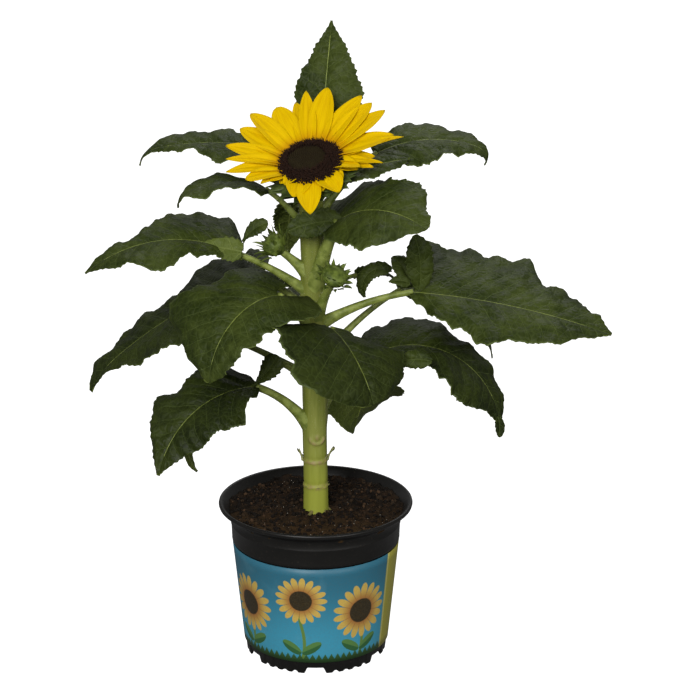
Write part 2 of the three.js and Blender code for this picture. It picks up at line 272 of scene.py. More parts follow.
plug_top = [(SOIL_EDGE_RADIUS * ring / SOIL_RINGS, SOIL_EDGE_HEIGHT)
            for ring in range(SOIL_RINGS, -1, -1)]
soil_form = spun(in_millimetres(PLUG_PROFILE) + plug_top, SOIL_STEPS)
for vert in soil_form.verts:
    if vert.co.z > SOIL_EDGE_HEIGHT - 1 * MM:
        vert.co.z = soil_height(vert.co.x, vert.co.y)

peat, tree, shader = new_finish("peat", Roughness=0.95, Specular_IOR_Level=0.15)
place = place_of(tree)
patch = grain(tree, place, 120, 6)
fine = grain(tree, place, 1500, 4)
damp = blend_colours(tree, span(tree, patch, 0.35, 0.65), colour(12, 8, 4), colour(38, 26, 14))
# Painted light: the peat turns a lighter brown toward the front, and the back stays darker as painted
# shade.
front = span(tree, add_node(tree, "ShaderNodeSeparateXYZ", {0: place}).outputs[1], 0.01, -0.045)
front_painted_light = blend_colours(tree, sums(tree, "MULTIPLY", front, 0.6), damp, colour(70, 52, 29))
paint(tree, shader, span(tree, fine, 0.55, 0.8), front_painted_light, colour(66, 50, 32))
raise_surface(tree, shader, fine, 0.6 * MM)
set_piece("peat_plug", soil_form, "peat", [peat], "soil")


def strewn(template, places):
    """Points and faces of many copies of one small form, joined."""
    corners = np.array([vert.co for vert in template.verts])
    order = [[vert.index for vert in face.verts] for face in template.faces]
    turns = np.array([np.array(place) for place in places])
    points = np.einsum("nij,vj->nvi", turns[:, :3, :3], corners) + turns[:, None, :3, 3]
    faces = [[index + copy * len(corners) for index in face]
             for copy in range(len(places)) for face in order]
    return points.reshape(-1, 3).tolist(), faces


def grainy_finish(name, scale, detail, dark, light, relief=0.0, **constants):
    """A finish clouded between two colours, and raised by the same grain if relief is given."""
    finish, tree, shader = new_finish(name, **constants)
    tone = grain(tree, place_of(tree), scale, detail)
    paint(tree, shader, tone, colour(*dark), colour(*light))
    if relief:
        raise_surface(tree, shader, tone, relief)
    return finish


def soil_spot(chance, nearest, farthest, crowding):
    """A random point of the peat's surface, between two distances from the middle."""
    around = chance.uniform(0, 2 * math.pi)
    out = nearest + (farthest - nearest) * chance.random() ** crowding
    x = out * math.cos(around)
    y = out * math.sin(around)
    return Vector((x, y, soil_height(x, y)))


def loose_place(chance, point, size, stretch=(1, 1, 1)):
    """A random turn about a point, with a size and a stretch along the form's own axes."""
    turn = Matrix.Rotation(chance.uniform(0, 6.3), 4, Vector([chance.gauss(0, 1) for _ in range(3)]))
    return Matrix.Translation(point) @ turn @ Matrix.Diagonal((*[size * s for s in stretch], 1))


crumb = bmesh.new()
bmesh.ops.create_icosphere(crumb, subdivisions=1, radius=1)
for vert in crumb.verts:
    vert.co *= 1 + 0.35 * noise.noise(vert.co * 1.7)
crumb.verts.ensure_lookup_table()
chance = random.Random(11)
heaps = {kind: [] for kind in CRUMB_KINDS}
shares = [share for shade, share in CRUMB_KINDS.values()]
for _ in range(CRUMB_COUNT):
    point = soil_spot(chance, *CRUMB_SPREAD)
    size = MM * (0.3 + 1.7 * chance.random() ** 5)
    stretch = (1, chance.uniform(0.6, 1), chance.uniform(0.45, 0.9))
    point.z += 0.3 * size
    kind = chance.choices(list(heaps), shares)[0]
    heaps[kind].append(loose_place(chance, point, size, stretch))
for kind, (shade, share) in CRUMB_KINDS.items():
    darker = [part * 0.72 for part in shade]
    crumb_finish = grainy_finish("peat_crumb_" + kind, 900, 3, darker, shade, 0.3 * MM,
                                 Roughness=0.9, Specular_IOR_Level=0.2)
    set_piece("peat_crumbs_" + kind, strewn(crumb, heaps[kind]), "peat", [crumb_finish])

white_grit = grainy_finish("white_grit", 1200, 2, (120, 108, 90), (205, 200, 188), Roughness=0.8)
grit_places = []
for _ in range(GRIT_COUNT):
    point = soil_spot(chance, *GRIT_SPREAD)
    point.z += 0.5 * MM
    grit_places.append(loose_place(chance, point, chance.uniform(0.16, 0.32) * MM))
set_piece("soil_grit", strewn(crumb, grit_places), "peat", [white_grit])

fibre = spun([(0, 0), (1, 0), (1, 0.34), (1, 0.67), (0, 1)], 4)
for vert in fibre.verts:
    vert.co.x += 7 * math.sin(2.2 * vert.co.z)
fibre.verts.ensure_lookup_table()
peat_fibre = grainy_finish("peat_fibre", 60, 2, (44, 30, 20), (92, 66, 42),
                           Roughness=0.85, Specular_IOR_Level=0.2)
fibre_places = []
for _ in range(FIBRE_COUNT):
    point = soil_spot(chance, *FIBRE_SPREAD)
    point.z += 0.4 * MM
    lie = Matrix.Rotation(math.radians(chance.gauss(90, 14)), 4, "X")
    aim = Matrix.Rotation(chance.uniform(0, 2 * math.pi), 4, "Z")
    thick = chance.uniform(0.07, 0.16) * MM
    size = Matrix.Diagonal((thick, thick, chance.uniform(2, 6.5) * MM, 1))
    fibre_places.append(Matrix.Translation(point) @ aim @ lie @ size)
set_piece("peat_fibres", strewn(fibre, fibre_places), "peat", [peat_fibre])


# ------------------------------------------------------------------------- Sleeve
# A band of printed paper wrapped once round the pot and glued where its ends overlap
# at the back: plain daisies over grass on sky blue, and a pale yellow panel. The print
# is worked out in millimetres up the band and, for the daisies, across each one's cell.
POT_BODY_RADIUS = 56 * MM
COLLAR_LOW = 79 * MM
SLEEVE_LOW = 9 * MM
SLEEVE_HIGH = 80 * MM
SLEEVE_GAP = 0.25 * MM
SLEEVE_THICK = 0.3 * MM
SLEEVE_START = math.radians(100)
SLEEVE_LAP = math.radians(5)
SLEEVE_MESH = (260, 12)

# The daisies' spacing, height and size in millimetres, with how much every second one
# differs; then the panel's ends, soft edge and line as shares of the way round.
DAISY_COUNT = 8
DAISY_PITCH = 42
DAISY_HIGH = 36.0
DAISY_STEP = 11.0
DAISY_SIZE = 20.5
DAISY_SHRINK = -3.0
DAISY_PETALS = 17
EYE_SHARE = 0.43
GRASS_BLADES = 150
PANEL_START = 0.628
PANEL_END = 0.745
PANEL_SOFT = 0.0008
PANEL_LINE = 0.004


def wall_radius(height):
    """The pot wall's outer radius at a height under the collar."""
    return POT_FOOT_RADIUS + (POT_BODY_RADIUS - POT_FOOT_RADIUS) * height / COLLAR_LOW


sleeve_form = bmesh.new()
sleeve_form.loops.layers.uv.new("print")
bmesh.ops.create_grid(sleeve_form, x_segments=SLEEVE_MESH[0], y_segments=SLEEVE_MESH[1],
                      size=1, calc_uvs=True)
for vert in sleeve_form.verts:
    share = (vert.co.x + 1) / 2
    height = SLEEVE_LOW + (SLEEVE_HIGH - SLEEVE_LOW) * (vert.co.y + 1) / 2
    turn = share * (2 * math.pi + SLEEVE_LAP)
    past_lap = max(0, turn - 2 * math.pi + SLEEVE_LAP)
    lap = min(1, past_lap / (2 * SLEEVE_LAP)) * 2 * SLEEVE_THICK
    radius = wall_radius(height) + SLEEVE_GAP + SLEEVE_THICK + lap
    angle = SLEEVE_START + turn
    vert.co = (radius * math.cos(angle), radius * math.sin(angle), height)
bmesh.ops.recalc_face_normals(sleeve_form, faces=sleeve_form.faces)

sleeve_print, tree, shader = new_finish("sleeve_print", Roughness=0.42, Specular_IOR_Level=0.35)
spot = add_node(tree, "ShaderNodeUVMap", {}, uv_map="print").outputs[0]
sheet = add_node(tree, "ShaderNodeSeparateXYZ", {0: spot})
along = sheet.outputs[0]
high = sums(tree, "MULTIPLY", sheet.outputs[1], (SLEEVE_HIGH - SLEEVE_LOW) / MM)

# Each daisy in its cell of the band: where a point lies from its middle, as a share of
# its size and as a bearing, gives its ring of petals and its eye.
cell = sums(tree, "MULTIPLY", along, DAISY_COUNT)
even = sums(tree, "PINGPONG", sums(tree, "FLOOR", cell), 1)
centred = sums(tree, "SUBTRACT", sums(tree, "FRACT", cell), 0.5)
across = sums(tree, "MULTIPLY", centred, DAISY_PITCH)
rise = sums(tree, "SUBTRACT", high, sums(tree, "MULTIPLY_ADD", even, DAISY_STEP, DAISY_HIGH))
size = sums(tree, "MULTIPLY_ADD", even, DAISY_SHRINK, DAISY_SIZE)
rise_squared = sums(tree, "MULTIPLY", rise, rise)
reach = sums(tree, "SQRT", sums(tree, "MULTIPLY_ADD", across, across, rise_squared))
out = sums(tree, "DIVIDE", reach, size)
bearing = sums(tree, "MULTIPLY", sums(tree, "ARCTAN2", rise, across), DAISY_PETALS / 2)
lobes = sums(tree, "ABSOLUTE", sums(tree, "COSINE", bearing))
edge = sums(tree, "MULTIPLY_ADD", sums(tree, "POWER", lobes, 0.5), 0.42, 0.58)
in_daisy = span(tree, sums(tree, "SUBTRACT", edge, out), -0.02, 0.03)
in_eye = span(tree, out, EYE_SHARE + 0.02, EYE_SHARE - 0.02)

# The sky, and over it the stalks with their pairs of leaves, and the grass.
long_spot = add_node(tree, "ShaderNodeVectorMath", {0: spot, 1: (5, 1, 1)}, operation="MULTIPLY")
sky_cloud = grain(tree, long_spot.outputs[0], 3, 3)
sky = blend_colours(tree, span(tree, high, 10, 66), colour(62, 150, 178), colour(44, 106, 128))
sky = blend_colours(tree, span(tree, sky_cloud, 0.55, 0.8, 0.0, 0.25), sky, colour(120, 170, 185))
sway = sums(tree, "MULTIPLY", sums(tree, "SINE", sums(tree, "MULTIPLY", high, 0.11)), 2.0)
stalk_side = sums(tree, "ABSOLUTE", sums(tree, "SUBTRACT", across, sway))
in_stalk = sums(tree, "MULTIPLY", span(tree, stalk_side, 1.3, 1.0), span(tree, rise, 0, -4))
scene_colour = blend_colours(tree, in_stalk, sky, colour(98, 132, 62))
leaf_side = sums(tree, "SUBTRACT", sums(tree, "ABSOLUTE", across), 7.0)
leaf_high = sums(tree, "SUBTRACT", high, sums(tree, "MULTIPLY_ADD", leaf_side, 0.5, 11.0))
leaf_reach = sums(tree, "MULTIPLY_ADD", sums(tree, "MULTIPLY", leaf_high, leaf_high), 0.06,
                  sums(tree, "MULTIPLY", sums(tree, "MULTIPLY", leaf_side, leaf_side), 0.02))
leaf_tone = blend_colours(tree, span(tree, leaf_high, -0.3, 0.3), colour(46, 96, 52), colour(84, 128, 66))
scene_colour = blend_colours(tree, span(tree, leaf_reach, 1.0, 0.9), scene_colour, leaf_tone)
zigzag = sums(tree, "PINGPONG", sums(tree, "MULTIPLY", along, GRASS_BLADES), 1)
blades = sums(tree, "MULTIPLY", zigzag, 4.0)
in_grass = span(tree, sums(tree, "SUBTRACT", sums(tree, "ADD", blades, 2.5), high), -0.2, 0.3)
scene_colour = blend_colours(tree, in_grass, scene_colour, colour(52, 92, 44))

# The daisies' inks, then the panel with its line, and a fine grain over everything.
petal_ink = blend_colours(tree, span(tree, out, 0.35, 0.8), colour(160, 104, 52),
                          colour(204, 172, 84))
between = sums(tree, "MULTIPLY", span(tree, lobes, 0.28, 0.05), 0.75)
petal_ink = blend_colours(tree, between, petal_ink, colour(150, 96, 44))
eye_cells = add_node(tree, "ShaderNodeTexVoronoi", {"Vector": spot, "Scale": 260}).outputs[0]
eye_dots = span(tree, eye_cells, 0.2, 0.6)
eye_ink = blend_colours(tree, eye_dots, colour(66, 52, 26), colour(44, 36, 20))
scene_colour = blend_colours(tree, in_daisy, scene_colour, petal_ink)
scene_colour = blend_colours(tree, in_eye, scene_colour, eye_ink)
past_start = span(tree, along, PANEL_START - PANEL_SOFT, PANEL_START + PANEL_SOFT)
before_end = span(tree, along, PANEL_END + PANEL_SOFT, PANEL_END - PANEL_SOFT)
in_panel = sums(tree, "MULTIPLY", past_start, before_end)
from_line = sums(tree, "ABSOLUTE", sums(tree, "SUBTRACT", along, PANEL_START + PANEL_LINE))
panel_edge = span(tree, from_line, 0.003, 0.002)
panel_ink = blend_colours(tree, panel_edge, colour(166, 160, 58), colour(196, 190, 110))
scene_colour = blend_colours(tree, in_panel, scene_colour, panel_ink)
ink_grain = span(tree, grain(tree, place_of(tree), 900, 2), 0.3, 0.7, 0.0, 0.12)
paint(tree, shader, ink_grain, scene_colour, colour(90, 92, 80))
raise_surface(tree, shader, grain(tree, place_of(tree), 60, 2), 0.3 * MM, 0.4)

sleeve = set_piece("printed_sleeve", sleeve_form, "sleeve_paper", [sleeve_print], "label_sleeve")
paper = sleeve.modifiers.new("paper", "SOLIDIFY")
paper.thickness = SLEEVE_THICK
paper.offset = -1


# ----------------------------------------------------------------------- Main stem
# One stout, ribbed green stem, a little swollen at each leaf, that leans and then bends
# forward under the bloom. Low down it has ring scars, torn scraps and two dried stubs
# where the first leaves fell, and short roots at its foot.
STEM_FOOT = 101.3 * MM
STEM_TOP = 328 * MM
STEM_FOOT_RADIUS = 8.4 * MM
STEM_TOP_RADIUS = 7.1 * MM
STEM_LEAN = -2.5 * MM
BLOOM_TILT = math.radians(24)
NECK_LENGTH = 36 * MM
STEM_RINGS = 250
STEM_STEPS = 64
SCAR_HEIGHTS = (119 * MM, 137 * MM)
EYE_SCAR = (155 * MM, math.radians(-80))

# What stands out on the stem, in millimetres: its grain, the swelling at each leaf, the
# ridge under it, a ring scar, the groove over that, and the round scar.
GRAIN_RELIEF = 0.35
NODE_RELIEF = 0.9
RIDGE_RELIEF = 0.55
SCAR_RELIEF = 0.6
GROOVE_RELIEF = 0.3
EYE_RELIEF = 1.1

# Dried stubs: bearing and height on the stem, length, and lean outwards. Torn scraps:
# how many, at what height, how far that varies, and how long. Roots: their bearings.
STUBS = ((186, 136.5, 8, 0.25), (-6, 137, 9, 0.35))
SCRAPS = ((9, 136, 1, 3.4), (5, 118.5, 0.4, 1.6))
ROOT_BEARINGS = (-166, -118, -84, -38, 8, 62, 120)

# Every leaf: the height of its node in millimetres and its heading in degrees; its
# stalk (length, radius, climb at the stem and at the blade); its blade (length, width,
# climb at base and tip, sideways turn, roll at base and tip); how blunt its base is and
# how long its point. Then, for some: each side's share of the width; a curl of the tip;
# how far the base's corners reach back (heart) and how puffed it is between the veins
# (quilt); bumps in each side's margin (share along, how far out, how broad); and a flag
# for the darker skin of the lower leaves.
LEAVES = {
    "low_left": dict(node=163, heading=-162, stalk=(45, 2.7, 57, 23),
                     blade=(95, 72, 3, -73, 25, 12, 20), broad=0.4, taper=1, quilt=1.1, old=True,
                     bumps={0: ((0.1, -13, 0.12), (0.45, -4, 0.2)),
                            1: ((0.08, 4, 0.1), (0.4, -5, 0.08), (0.58, 4, 0.1))}),
    "low_left_hanging": dict(node=195, heading=158, stalk=(62, 1.9, 26, 12),
                             blade=(110, 34, -52, -98, 6, 0, 0), broad=1, taper=0.9, curl=-40),
    "left_front": dict(node=231, heading=-132, stalk=(38, 2.2, 58, 34),
                       blade=(87, 92, 12, -88, -14, 16, 10), broad=0.4, taper=0.8, heart=0.3,
                       bumps={0: ((0.35, -16, 0.22), (0.65, -11, 0.2)),
                              1: ((0.04, 14, 0.12), (0.26, -8, 0.2), (0.62, 15, 0.2))}),
    "left_back": dict(node=240, heading=156, stalk=(38, 2.2, 46, 15),
                      blade=(150, 76, -22, -46, 36, 22, 12), broad=0.4, taper=1, curl=-25,
                      quilt=0.7, old=True,
                      bumps={0: ((0.66, 4, 0.14), (0.86, -5, 0.1)),
                             1: ((0.1, 9, 0.12), (0.3, 16, 0.09), (0.46, -4, 0.1),
                                 (0.9, 8, 0.09))}),
    "left_middle": dict(node=256, heading=-170, stalk=(48, 2.2, 40, 24),
                        blade=(109, 68, 31, -38, 5, 20, 12), broad=0.45, taper=1,
                        bumps={0: ((0.18, -20, 0.22), (0.36, -4, 0.1), (0.6, 5, 0.1)),
                               1: ((0.07, 13, 0.1), (0.3, 7, 0.1), (0.64, -10, 0.18))}),
    "left_upper": dict(node=298, heading=-170, stalk=(36, 1.8, 60, 36),
                       blade=(66, 52, 27, -42, -10, -2, -2), broad=0.95, taper=0.9, curl=-60,
                       bumps={0: ((0.04, 7, 0.14), (0.5, -3, 0.14)),
                              1: ((0.04, 4, 0.14), (0.8, 10, 0.14))}),
    "left_top": dict(node=316, heading=147, stalk=(42, 2, 64, 31),
                     blade=(98, 62, 4, -16, 35, 12, 5), broad=0.5, taper=1.1, curl=-70,
                     bumps={0: ((0.5, -12, 0.25), (0.76, -4, 0.12)),
                            1: ((0.36, -10, 0.16), (0.62, 8, 0.12))}),
    "top_upright": dict(node=320, heading=79, stalk=(48, 1.8, 58, 40),
                        blade=(74, 47, 68, 56, 1, 0, 0), broad=0.42, taper=1.12,
                        sides=(0.88, 1.07)),
    "right_top": dict(node=306, heading=20, stalk=(55, 2, 55, 33),
                      blade=(84, 60, 22, -26, -36, -18, -2), broad=0.5, taper=1, curl=-100,
                      bumps={0: ((0.3, -5, 0.14), (0.55, 5, 0.12))}),
    "right_top_small": dict(node=318, heading=-2, stalk=(22, 1.5, 52, 40),
                            blade=(44, 34, 22, 6, 6, -16, -10), broad=0.45, taper=0.9),
    "front_right_upper": dict(node=268, heading=-42, stalk=(42, 3.5, 70, 60),
                              blade=(74, 80, 34, -26, 8, -30, -26), broad=0.34, taper=0.6,
                              heart=0.5,
                              bumps={0: ((0.03, 14, 0.1), (0.2, 4, 0.12), (0.42, -9, 0.16),
                                         (0.86, -8, 0.12)),
                                     1: ((0.06, -17, 0.1), (0.22, -13, 0.2),
                                         (0.86, -6, 0.12))}),
    "back_left_upper": dict(node=311, heading=112, stalk=(12, 1.6, 20, -10),
                            blade=(64, 40, -15, -85, -20, 0, 0), broad=0.5, taper=1,
                            sides=(0.66, 1)),
    "right_middle": dict(node=233, heading=-8, stalk=(64, 2.3, 34, 10),
                         blade=(133, 108, -2, -16, -8, -21, -16), broad=0.24, taper=0.85,
                         heart=0.03, sides=(1.12, 0.82),
                         bumps={0: ((0.02, 18, 0.06), (0.27, -4, 0.12), (0.5, 10, 0.05),
                                    (0.61, -10, 0.06)),
                                1: ((0.06, -24, 0.13), (0.27, -10, 0.12), (0.44, 6, 0.06),
                                    (0.76, 9, 0.06))}),
    "right_back": dict(node=206, heading=24, stalk=(70, 1.9, 50, 23),
                       blade=(96, 40, 5, -84, -20, -20, -10), broad=0.45, taper=1),
    "right_inner": dict(node=252, heading=38, stalk=(30, 1.5, 26, 4),
                        blade=(39, 14, 18, -60, -40, -20, -10), broad=0.45, taper=1.1),
    "right_low": dict(node=183, heading=11, stalk=(36, 2.2, 50, 28),
                      blade=(120, 72, 29, -82, -34, -12, -14), broad=0.4, taper=0.8, old=True,
                      bumps={0: ((0.2, 7, 0.15), (0.66, -8, 0.16)),
                             1: ((0.3, -11, 0.14), (0.45, -4, 0.1), (0.7, 10, 0.14))}),
    "front_low": dict(node=205, heading=-68, stalk=(42, 2.2, 66, 34),
                      blade=(68, 88, 0, -70, 20, 18, 4), broad=0.3, taper=0.5, heart=0.1,
                      quilt=0.8, old=True,
                      bumps={0: ((0.17, -20, 0.16), (0.72, 4, 0.16)),
                             1: ((0.16, 7, 0.14), (0.34, 5, 0.14), (0.7, 13, 0.2))}),
    "back_right_low": dict(node=168, heading=46, stalk=(39, 1.9, 55, 8),
                           blade=(60, 60, -45, -80, 128, 0, 0), broad=0.42, taper=0.6,
                           sides=(1.05, 0.9), bumps={1: ((0.92, 6, 0.1),)}),
    "back_low": dict(node=182, heading=76, stalk=(36, 2, 46, 16),
                     blade=(84, 58, 5, -80, -8, 0, 0), broad=0.42, taper=1),
    "back_middle": dict(node=222, heading=106, stalk=(38, 2, 39, 10),
                        blade=(92, 62, 4, -49, -11, 0, 0), broad=0.42, taper=1),
    "back_right_upper": dict(node=288, heading=58, stalk=(32, 2, 22, 5),
                             blade=(88, 58, 20, -55, -10, 0, 0), broad=0.42, taper=1),
}

# Small lobes, corners and folds of the blades, most of them at a blade's base: where
# each starts, in millimetres, then its heading and blade as above; a turned one shows
# its underside.
LEAFLETS = {
    "low_left_lobe": dict(start=(-42, -14, 193), heading=8, blade=(28, 15, 40, 62, 0, -50, -60),
                          broad=1.4, taper=0.5),
    "left_middle_lobe": dict(start=(-47, -6, 291), heading=0, blade=(22, 11, 64, 12, 0, -50, -50),
                             broad=1.1, taper=0.5),
    "left_middle_fold": dict(start=(-47, -15, 287), heading=178, blade=(36, 16, 16, -10, 0, 62, 50),
                             broad=0.3, taper=1.2, turned=True),
    "right_inner_lobe": dict(start=(51, 1, 270), heading=184, blade=(35, 12, 28, -120, 0, 40, 60),
                             broad=0.5, taper=0.7),
    "right_middle_lobe": dict(start=(62, -7, 264), heading=150, blade=(21, 15, 80, 20, 0, 40, 30),
                              broad=0.5, taper=0.6),
    "right_middle_fold": dict(start=(63, -9, 264), heading=192, blade=(15, 9, 24, -10, 0, 60, 40),
                              broad=0.5, taper=0.9),
    "right_middle_corner": dict(start=(69, -9, 259), heading=180, blade=(38, 20, 98, 72, 0, 78, 66),
                                broad=0.6, taper=0.6),
    "right_low_tip": dict(start=(123, -1, 168), heading=0, blade=(15, 7, -72, -100, 0, 84, 60),
                          broad=0.6, taper=0.5, turned=True, old=True),
    "right_low_fold": dict(start=(77, -25, 215), heading=180, blade=(21, 13, 14, -14, 0, 62, 70),
                           broad=0.6, taper=0.6),
    "front_upper_lobe": dict(start=(18, -17, 308), heading=182, blade=(36, 19, 4, -24, 0, 62, 72),
                             broad=0.4, taper=0.5),
}

# Side buds: node height and heading, stalk, then the bud's radius and depth.
BUDS = {
    "bud_left": dict(node=270, heading=-168, stalk=(18, 2.8, 44, 40), radius=9, depth=16),
    "bud_right": dict(node=240, heading=-57, stalk=(30, 2.6, 60, 54), radius=10, depth=12),
}


def bearing_of(heading, climb):
    """A unit vector from a heading about +Z and a climb above level, in degrees."""
    level = math.cos(math.radians(climb))
    return Vector((level * math.cos(math.radians(heading)), level * math.sin(math.radians(heading)),
                   math.sin(math.radians(climb))))


def stem_centre(height):
    """The middle of the stem at a height, with its lean and the bend of its neck."""
    rise = (height - STEM_FOOT) / (STEM_TOP - STEM_FOOT)
    bend = max(0, height - (STEM_TOP - NECK_LENGTH))
    forward = math.tan(BLOOM_TILT) * bend * bend / (2 * NECK_LENGTH)
    return Vector((STEM_LEAN * rise * rise, -forward, height))


def stem_radius(height):
    """The plain stem's radius at a height."""
    rise = (height - STEM_FOOT) / (STEM_TOP - STEM_FOOT)
    return STEM_FOOT_RADIUS + (STEM_TOP_RADIUS - STEM_FOOT_RADIUS) * rise


def stem_relief(height, angle):
    """How far ribs, nodes and scars stand out from the plain stem."""
    relief = 0.06 * math.cos(9 * angle + 2 * math.sin(25 * height))
    relief += 0.08 * math.cos(5 * angle + 21 * height)
    round_place = Vector((math.cos(angle) * 1.4, math.sin(angle) * 1.4, height * 40))
    relief += GRAIN_RELIEF * noise.noise(round_place)
    for limb_facts in list(LEAVES.values()) + list(BUDS.values()):
        node = limb_facts["node"] * MM
        facing = max(0, math.cos(angle - math.radians(limb_facts["heading"])))
        relief += NODE_RELIEF * bell(height - node + 1 * MM, 5 * MM) * facing ** 3
        relief += RIDGE_RELIEF * bell(height - node + 11 * MM, 9 * MM) * facing ** 12
    for scar in SCAR_HEIGHTS:
        ragged = scar + 0.9 * MM * noise.noise(round_place * 2.3)
        relief += SCAR_RELIEF * bell(height - ragged, 0.8 * MM)
        relief -= GROOVE_RELIEF * bell(height - ragged - 2.2 * MM, 1.4 * MM)
    return (relief + EYE_RELIEF * eye_scar(height, angle)) * MM


def eye_scar(height, angle):
    """A round scar on the stem's front, with a raised crescent under it: 0 to 1."""
    eye_height, eye_angle = EYE_SCAR
    if math.cos(angle - eye_angle) <= 0:
        return 0
    away = math.hypot(stem_radius(height) * math.sin(angle - eye_angle), height - eye_height)
    under = min(1, max(0, (eye_height - height) / (2 * MM) + 0.4))
    return max(0.8 * bell(away, 1.7 * MM), under * bell(away - 4.6 * MM, 0.9 * MM))


def stem_point(height, angle, grown=0.0):
    """A point on the stem's skin, and the way out from it."""
    direction = (stem_centre(height + MM) - stem_centre(height - MM)).normalized()
    side = Vector((1, 0, 0))
    outward = side * math.cos(angle) + direction.cross(side) * math.sin(angle)
    radius = stem_radius(height) + stem_relief(height, angle) + grown
    return stem_centre(height) + outward * radius, outward


stem_start = STEM_FOOT - 3 * MM
stem_end = STEM_TOP + 1 * MM
stem_rings = [(1, stem_start + (stem_end - stem_start) * ring / STEM_RINGS)
              for ring in range(STEM_RINGS + 1)]
stem_form = spun([(0, stem_rings[0][1])] + stem_rings + [(0, stem_rings[-1][1])], STEM_STEPS)
scarred = stem_form.verts.layers.float.new("scar")
for vert in stem_form.verts:
    height = vert.co.z
    if math.hypot(vert.co.x, vert.co.y) < 0.5:
        vert.co = stem_centre(height)
        continue
    angle = math.atan2(vert.co.y, vert.co.x)
    scar_bands = [bell(height - scar, 1.6 * MM) for scar in SCAR_HEIGHTS]
    vert[scarred] = max([eye_scar(height, angle)] + scar_bands)
    vert.co = stem_point(height, angle)[0]

# Long pale streaks in green skin, for the stem, stalks, buds and calyx.
streaks = bpy.data.node_groups.new("green_streaks", "ShaderNodeTree")
streaks.interface.new_socket("Place", in_out="INPUT", socket_type="NodeSocketVector")
for socket in ("Dark", "Light"):
    streaks.interface.new_socket(socket, in_out="INPUT", socket_type="NodeSocketColor")
streaks.interface.new_socket("Color", in_out="OUTPUT", socket_type="NodeSocketColor")
streaks.interface.new_socket("Height", in_out="OUTPUT", socket_type="NodeSocketFloat")
given = streaks.nodes.new("NodeGroupInput")
result = streaks.nodes.new("NodeGroupOutput")
long_grain = grain(streaks, given.outputs["Place"], 1, 3)
speck = grain(streaks, given.outputs["Place"], 3.1, 5)
streaked = span(streaks, long_grain, 0.32, 0.68)
toned = blend_colours(streaks, streaked, given.outputs["Dark"], given.outputs["Light"])
pale = sums(streaks, "MULTIPLY", span(streaks, speck, 0.56, 0.74), 0.12)
streaks.links.new(blend_colours(streaks, pale, toned, colour(196, 200, 140)), result.inputs["Color"])
streaks.links.new(sums(streaks, "ADD", long_grain, speck), result.inputs["Height"])


def streaked_skin(tree, stretch, dark, light):
    """The streaks group laid along a green skin: its colour and its height."""
    made = tree.nodes.new("ShaderNodeGroup")
    made.node_tree = streaks
    tree.links.new(place_of(tree, stretch), made.inputs["Place"])
    made.inputs["Dark"].default_value = dark
    made.inputs["Light"].default_value = light
    return made.outputs["Color"], made.outputs["Height"]


stem_skin, tree, shader = new_finish("stem_skin", Roughness=0.5, Specular_IOR_Level=0.35)
skin, ridges = streaked_skin(tree, (330, 330, 26), colour(116, 124, 46), colour(134, 139, 62))
height = add_node(tree, "ShaderNodeSeparateXYZ", {0: place_of(tree)}).outputs[2]
# Painted light and shade: the foot turns a lighter lime, partly the skin's own yellower green and partly
# painted light, and the stem darkens toward the top as painted shade under the leaves.
lit_foot_shaded_top = blend_colours(tree, span(tree, height, 0.16, 0.11), skin, colour(150, 156, 58))
lit_foot_shaded_top = blend_colours(tree, span(tree, height, 0.2, 0.27, 0.0, 0.3), lit_foot_shaded_top, colour(92, 102, 42))
old_scar = add_node(tree, "ShaderNodeAttribute", {}, attribute_name="scar").outputs["Fac"]
scar_wear = span(tree, grain(tree, place_of(tree), 500, 3), 0.35, 0.6)
paint(tree, shader, sums(tree, "MULTIPLY", old_scar, scar_wear), lit_foot_shaded_top, colour(150, 132, 86))
raise_surface(tree, shader, ridges, 0.15 * MM, 0.5)
set_piece("main_stem", stem_form, "stem_skin", [stem_skin], "stem")


def rod(place_at, rings, sides):
    """A closed rod: place_at(share along, angle round) gives each point of its skin."""
    form = spun([(1, ring / rings) for ring in range(rings + 1)], sides)
    bmesh.ops.holes_fill(form, edges=[edge for edge in form.edges if edge.is_boundary], sides=0)
    for vert in form.verts:
        vert.co = place_at(vert.co.z, math.atan2(vert.co.y, vert.co.x))
    bmesh.ops.recalc_face_normals(form, faces=form.faces)
    return form


def joined(forms):
    """Several forms as one."""
    whole = bmesh.new()
    for form in forms:
        mesh = bpy.data.meshes.new("part")
        form.to_mesh(mesh)
        form.free()
        whole.from_mesh(mesh)
        bpy.data.meshes.remove(mesh)
    return whole


def stub_form(angle, height, length, lean):
    """A dried stub of a lost leaf: thin, flared at its broken tip."""
    foot, outward = stem_point(height, angle)
    side = outward.cross(UP)

    def place_at(share, turn):
        way = UP * math.cos(lean * share) + outward * math.sin(lean * share)
        radius = (1.5 - 0.7 * share + 0.9 * share ** 5) * MM
        ragged = 1 + 0.12 * math.sin(5 * turn) * share
        centre = foot + outward * (lean * 3 * MM * share) + way * length * share * ragged
        return centre + (side * math.cos(turn) + way.cross(side) * math.sin(turn) * 0.6) * radius

    return rod(place_at, 10, 14)


def scale_form(angle, height, length):
    """A torn scrap of old leaf base that stands out from the stem."""
    form = bmesh.new()
    bmesh.ops.create_grid(form, x_segments=6, y_segments=4, size=1)
    foot, outward = stem_point(height, angle, -0.2 * MM)
    side = outward.cross(UP)
    for vert in form.verts:
        share = (vert.co.x + 1) / 2
        width = 1.9 * MM * (1 - share) ** 0.7 * vert.co.y
        curl = outward * (1.6 * MM * share ** 2) + UP * length * share
        vert.co = foot + side * width + curl - outward * (abs(vert.co.y) * 0.5 * MM)
    bmesh.ops.solidify(form, geom=form.faces[:], thickness=0.25 * MM)
    bmesh.ops.recalc_face_normals(form, faces=form.faces)
    return form


